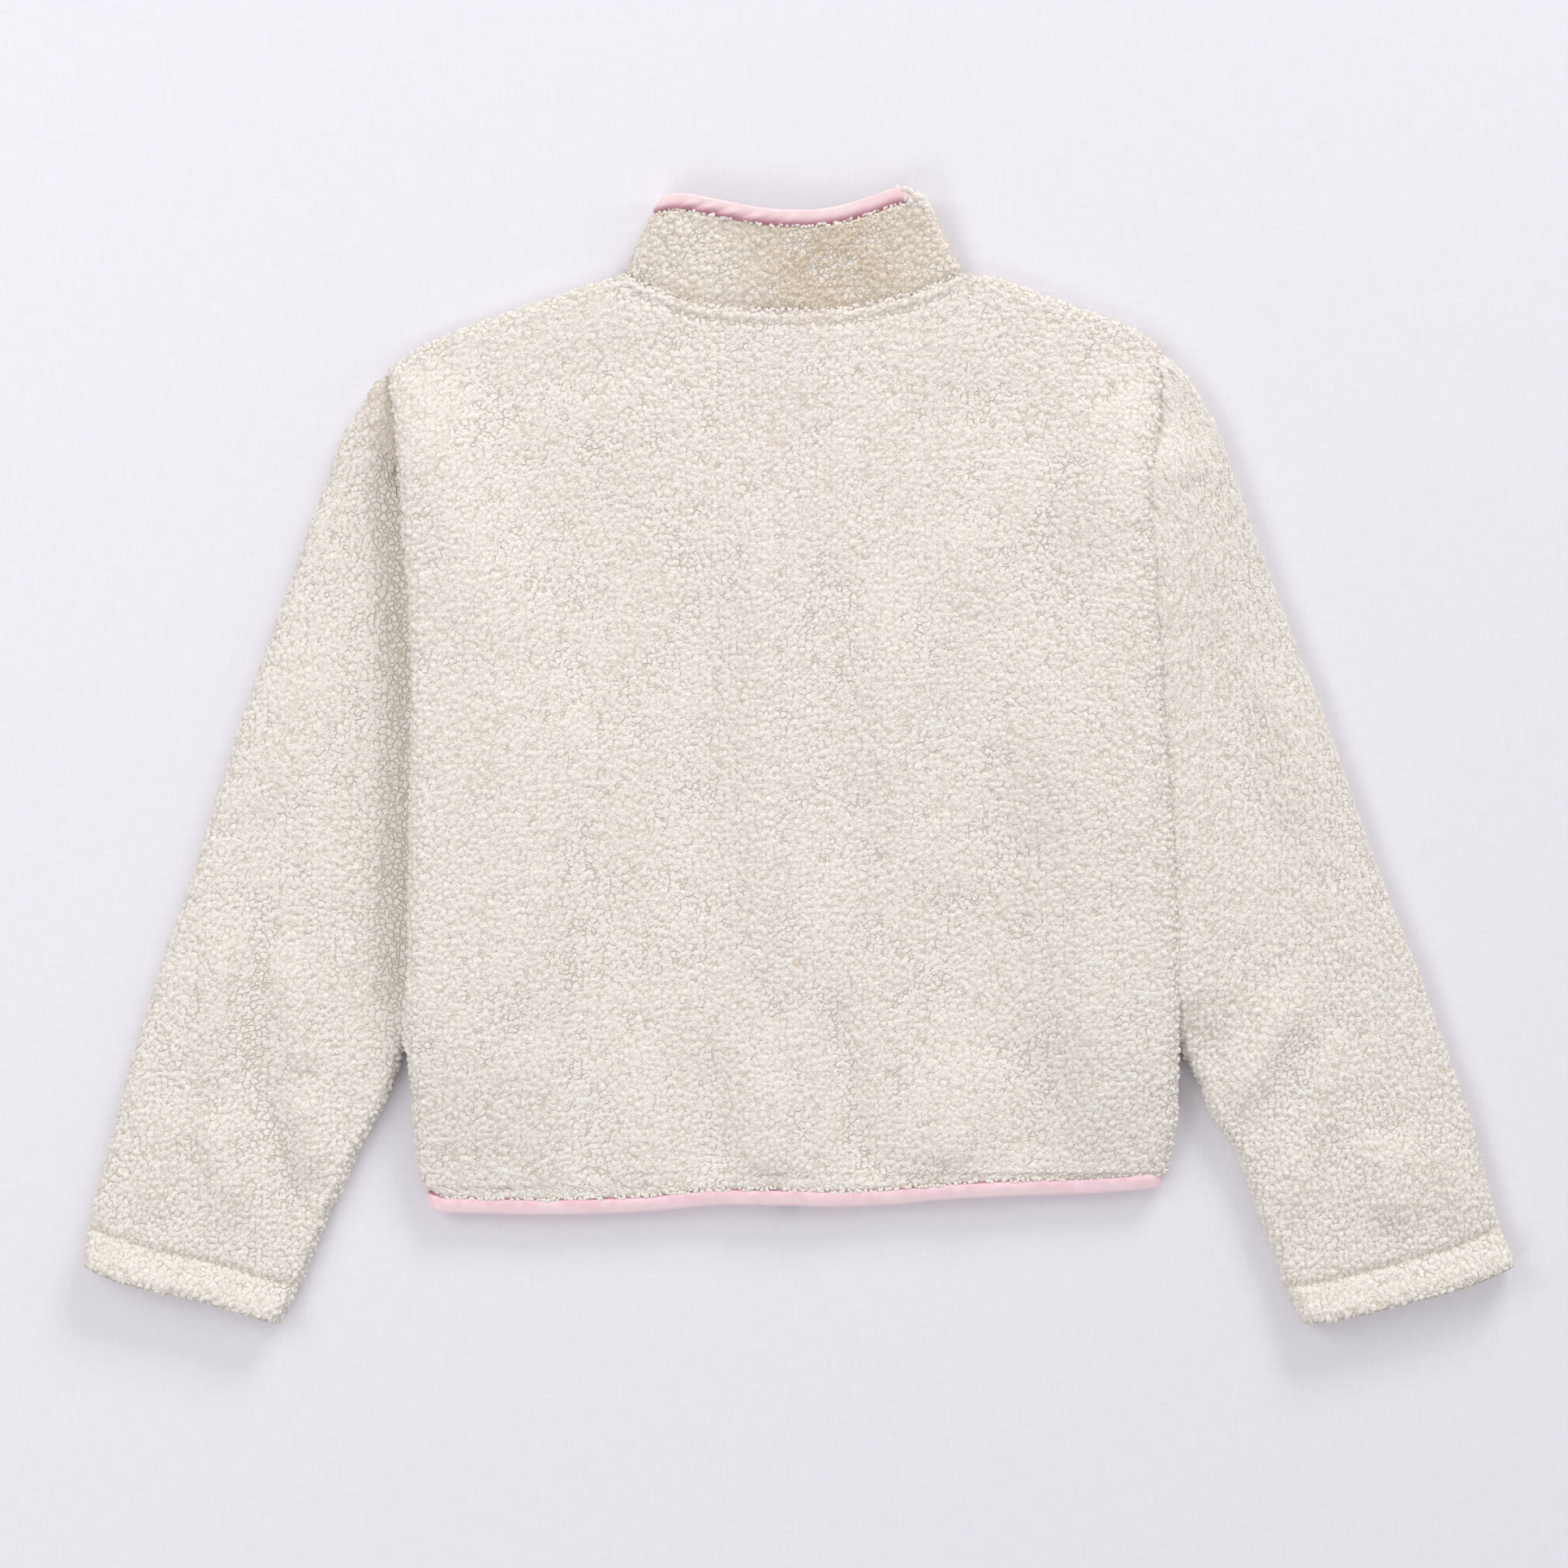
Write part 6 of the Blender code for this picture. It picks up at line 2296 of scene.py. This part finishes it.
@dataclass(frozen=True)
class Studio:
    """Pale cloth floor, a soft light from above the collar and three weaker ones, and the camera."""

    centre: tuple[float, float] = (-0.0095, -0.017)
    view_width: float = 0.966
    distance: float = 3.2
    level: float = 0.012
    floor_half: float = 3000.0
    floor_drop: float = 0.3
    floor_colour: tuple[float, ...] = (0.865, 0.845, 0.895, 1.0)
    lamps: tuple[Lamp, ...] = (
        Lamp("key", (1.7, 3.7, 1.75), (2.2, 1.2), 94.0),
        Lamp("fill", (-1.9, 1.0, 2.0), (1.6, 1.6), 20.0),
        Lamp("side", (3.5, 0.9, 1.5), (1.2, 1.6), 14.0),
        Lamp("front", (-2.3, -2.2, 3.0), (2.2, 1.6), 30.0),
    )
    sky: tuple[float, ...] = (0.97, 0.97, 1.0, 1.0)
    sky_strength: float = 0.54

    def add_floor(self) -> None:
        """A wide pale floor with a faint weave."""
        corners = np.array([(-1.0, -1.0), (1.0, -1.0), (1.0, 1.0), (-1.0, 1.0)]) * self.floor_half
        points = np.column_stack([corners, np.full(4, -self.floor_drop)])
        floor = new_mesh("floor", points, np.array([[0, 1, 2, 3]]), smooth=False)
        material, graph, shader = start_material("pale_floor_cloth")
        place = graph.place()
        weft = graph.add("ShaderNodeMapping", Vector=place, Scale=(60.0, 1100.0, 1.0))
        warp = graph.add("ShaderNodeMapping", Vector=place, Scale=(1100.0, 60.0, 1.0))
        first = graph.add("ShaderNodeTexNoise", Vector=weft.outputs[0], Scale=1.0, Detail=2.0)
        second = graph.add("ShaderNodeTexNoise", Vector=warp.outputs[0], Scale=1.0, Detail=2.0)
        threads = graph.math("ADD", first.outputs["Fac"], second.outputs["Fac"])
        between = darker(self.floor_colour, 0.965)
        colour = graph.mix(graph.ramp(threads, 0.8, 1.2), between, self.floor_colour)
        graph.set_inputs(shader, Base_Color=colour, Roughness=0.95)
        graph.relief(shader, 0.15, 0.0003, threads)
        floor.data.materials.append(material)

    def add_light(self, lamp: Lamp) -> None:
        """Make one of the lights.

        Args:
            lamp: where it stands, how large it is and how bright.
        """
        data = bpy.data.lights.new(lamp.name, "AREA")
        data.shape = "RECTANGLE"
        data.size, data.size_y = lamp.size
        data.energy = lamp.power
        light = bpy.data.objects.new(lamp.name, data)
        bpy.context.scene.collection.objects.link(light)
        light.location = lamp.place
        aim = light.location.copy()
        aim.z -= self.level
        light.rotation_mode = "QUATERNION"
        light.rotation_quaternion = aim.to_track_quat("Z", "Y")

    def add_camera(self) -> None:
        """The camera straight above, its view as wide as the photograph's at the cloth's level."""
        data = bpy.data.cameras.new("overhead")
        data.sensor_width = 36.0
        data.lens = 36.0 * (self.distance - self.level) / self.view_width
        data.clip_end = 20.0
        camera = bpy.data.objects.new("overhead", data)
        bpy.context.scene.collection.objects.link(camera)
        camera.location = (self.centre[0], self.centre[1], self.distance)
        bpy.context.scene.camera = camera

    def build(self) -> None:
        """Make the floor, lights, surroundings and camera, and show plain display colours."""
        bpy.context.scene.view_settings.view_transform = "Standard"
        self.add_floor()
        for lamp in self.lamps:
            self.add_light(lamp)
        world = bpy.data.worlds.new("soft_sky")
        world.use_nodes = True
        background = world.node_tree.nodes["Background"]
        background.inputs["Color"].default_value = self.sky
        background.inputs["Strength"].default_value = self.sky_strength
        bpy.context.scene.world = world
        self.add_camera()


# Edges run from the armhole to the cuff, from the cuff to the armhole, and across the cuff
SLEEVE_LEFT = dict(
    outer_edge=(
        (-253.2, 236), (-258.5, 233.5), (-269.5, 216.5), (-283, 196), (-288.5, 176), (-297, 156),
        (-311, 116), (-325, 76), (-346, 16), (-371, -64), (-398, -144), (-411, -184),
        (-421, -224), (-432, -264), (-438, -290), (-441.5, -313.5),
    ),
    inner_edge=(
        (-320, -349.5), (-307, -324), (-299, -304), (-291, -284), (-280.5, -264),
        (-272.5, -244), (-260.5, -222), (-249.5, -199),
    ),
    cuff_edge=(
        (-441.5, -313.5), (-428, -320), (-412.5, -325.5), (-372.5, -334.5), (-345, -342.5),
        (-320, -349.5),
    ),
    creases=(
        (-352, -100, -366, -215, 13, 2.3),
        (-366, -215, -345, -285, 13, 2.1),
        (-318, -120, -305, -205, 12, 2.1),
        (-305, -205, -300, -262, 11, 2.5),
        (-300, 60, -330, -40, 18, 1.5),
        (-385, -215, -402, -285, 12, 1.5),
        (-328, -90, -338, -225, 9, -3.0),
        (-338, -190, -306, -290, 9, -2.8),
    ),
    seam_shade=0.95,
    end_reach=3.8,
    swell=-6.8,
    swell_reach=26.0,
    swell_ends=(-185.0, 215.0),
)
SLEEVE_RIGHT = dict(
    outer_edge=(
        (224.2, 248.5), (228.5, 246), (239, 234.5), (250, 216.5), (260.5, 196), (267, 176),
        (281, 136), (296, 96), (326.5, 16), (354.5, -64), (385.5, -144), (399.5, -184),
        (414, -224), (424, -264), (432, -290), (441.5, -313),
    ),
    inner_edge=(
        (311, -349.5), (299, -324), (292.5, -304), (284, -284), (277.5, -264),
        (270, -244), (256, -224), (245, -199),
    ),
    cuff_edge=(
        (441.5, -313), (432.5, -317.5), (412.5, -326), (372.5, -337), (332.5, -346.5),
        (311, -349.5),
    ),
    creases=(
        (308, -140, 268, -222, 12, 2.6),
        (330, -175, 302, -280, 13, 2.0),
        (363, -235, 368, -290, 17, 2.3),
        (287, 60, 310, -50, 18, 1.6),
        (395, -230, 408, -290, 12, 1.4),
        (314, -170, 308, -262, 11, -2.6),
        (232, 160, 254, 172, 5, -1.5),
        (268, 60, 292, -60, 16, -1.6),
    ),
    seam_shade=0.0,
    swell=9.2,
    swell_start=-5.0,
    seam_dip=(0.04, 0.05),
    swell_reach=30.0,
    swell_ends=(-185.0, 215.0),
)


def build_stitching(
    layout: Layout, panels: BodyPanels, sleeves: list[Sleeve], finishes: Finishes
) -> None:
    """Stitches sunk in the furrows of the neck and the cuffs, and along the hem binding's seam.

    Args:
        layout: the jacket's outlines.
        panels: the body panels, for the back's height.
        sleeves: both sleeves, for their cuffs' height.
        finishes: the threads.
    """
    x = spaced(layout.neck_left + 5, layout.neck_right - 5, 2.0)
    y = read_table(layout.back_neck, x) - layout.neck_ridge
    z = panels.back_heights(x, y)[0]
    up = np.tile(UP, (len(x), 1))
    line = stack(x, y, z - 0.5)
    Stitches("neck_stitches", line, up, finishes.cream_thread, "fleece").build()
    for sleeve in sleeves:
        steps = np.array([sleeve.cuff_depth])
        width = float(np.hypot(*(np.subtract(*sleeve.frame_lines(steps))).T)[0])
        t = spaced(6 / width, 1 - 6 / width, 2 / width)[None, :]
        line = sleeve.skin(steps, np.ones(1), t, np.ones_like(t, bool), np.array([[width]]))[0]
        line[:, 2] -= 0.5
        up = np.tile(UP, (len(line), 1))
        name = f"cuff_stitches_{sleeve.hand.label}"
        Stitches(name, line, up, finishes.cream_thread, "fleece").build()
    x = spaced(-215, 212, 2.0)
    y = layout.cloth_bottom(x) + layout.bound_depth + 0.2
    line = stack(x, y, layout.middle_of_hem(x) + 1.9)
    up = np.tile(UP, (len(x), 1))
    Stitches("hem_stitches", line, up, finishes.pink_thread, "satin").build()


def main() -> None:
    """Build the jacket's sub-assemblies in order, then the studio."""
    logging.basicConfig(level=logging.INFO, format="%(name)s %(message)s")
    finishes = Finishes.make(Workshop.open())
    layout = Layout()
    pile = Pile()
    Studio().build()
    panels = BodyPanels(layout, pile, finishes)
    panels.build_back()
    for hand in Hand:
        panels.build_front(hand)
    sleeves = [
        Sleeve(layout, pile, finishes, Hand.LEFT, **SLEEVE_LEFT),
        Sleeve(layout, pile, finishes, Hand.RIGHT, **SLEEVE_RIGHT),
    ]
    for sleeve in sleeves:
        sleeve.build()
    collar = Collar(layout, Pile(curl=4.5, height=0.95), finishes)
    collar.build()
    path, upward, outward = hem_path(panels, 1.8)
    Binding(
        layout, finishes.satin, "hem_satin", "hem_binding", path, upward, outward,
        flat=(0.93, 0.026), rests_on=("back", "front_left", "front_right"),
    ).build()
    path, upward, outward = collar.bound_edge(1.3)
    wrinkles = (
        (118, 9, 2.2, 0.9), (124, 10, 1.9, -0.8), (130, 10, 2.2, 1.0), (137, 11, 2.0, -0.8),
        (144, 11, 2.4, 0.9), (152, 12, 2.2, -0.7), (160, 12, 2.6, 0.7), (174, 12, 3.0, -0.4),
    )
    Binding(
        layout, finishes.collar_satin, "collar_satin", "collar_binding", path, upward, outward,
        flat=(0.40, 0.026), rests_on=("collar",), wrinkles=wrinkles, roll_shine=0.5,
        seam_reach=0.60,
    ).build()
    build_stitching(layout, panels, sleeves, finishes)
    Zip(layout, finishes).build()


if __name__ == "__main__":
    main()
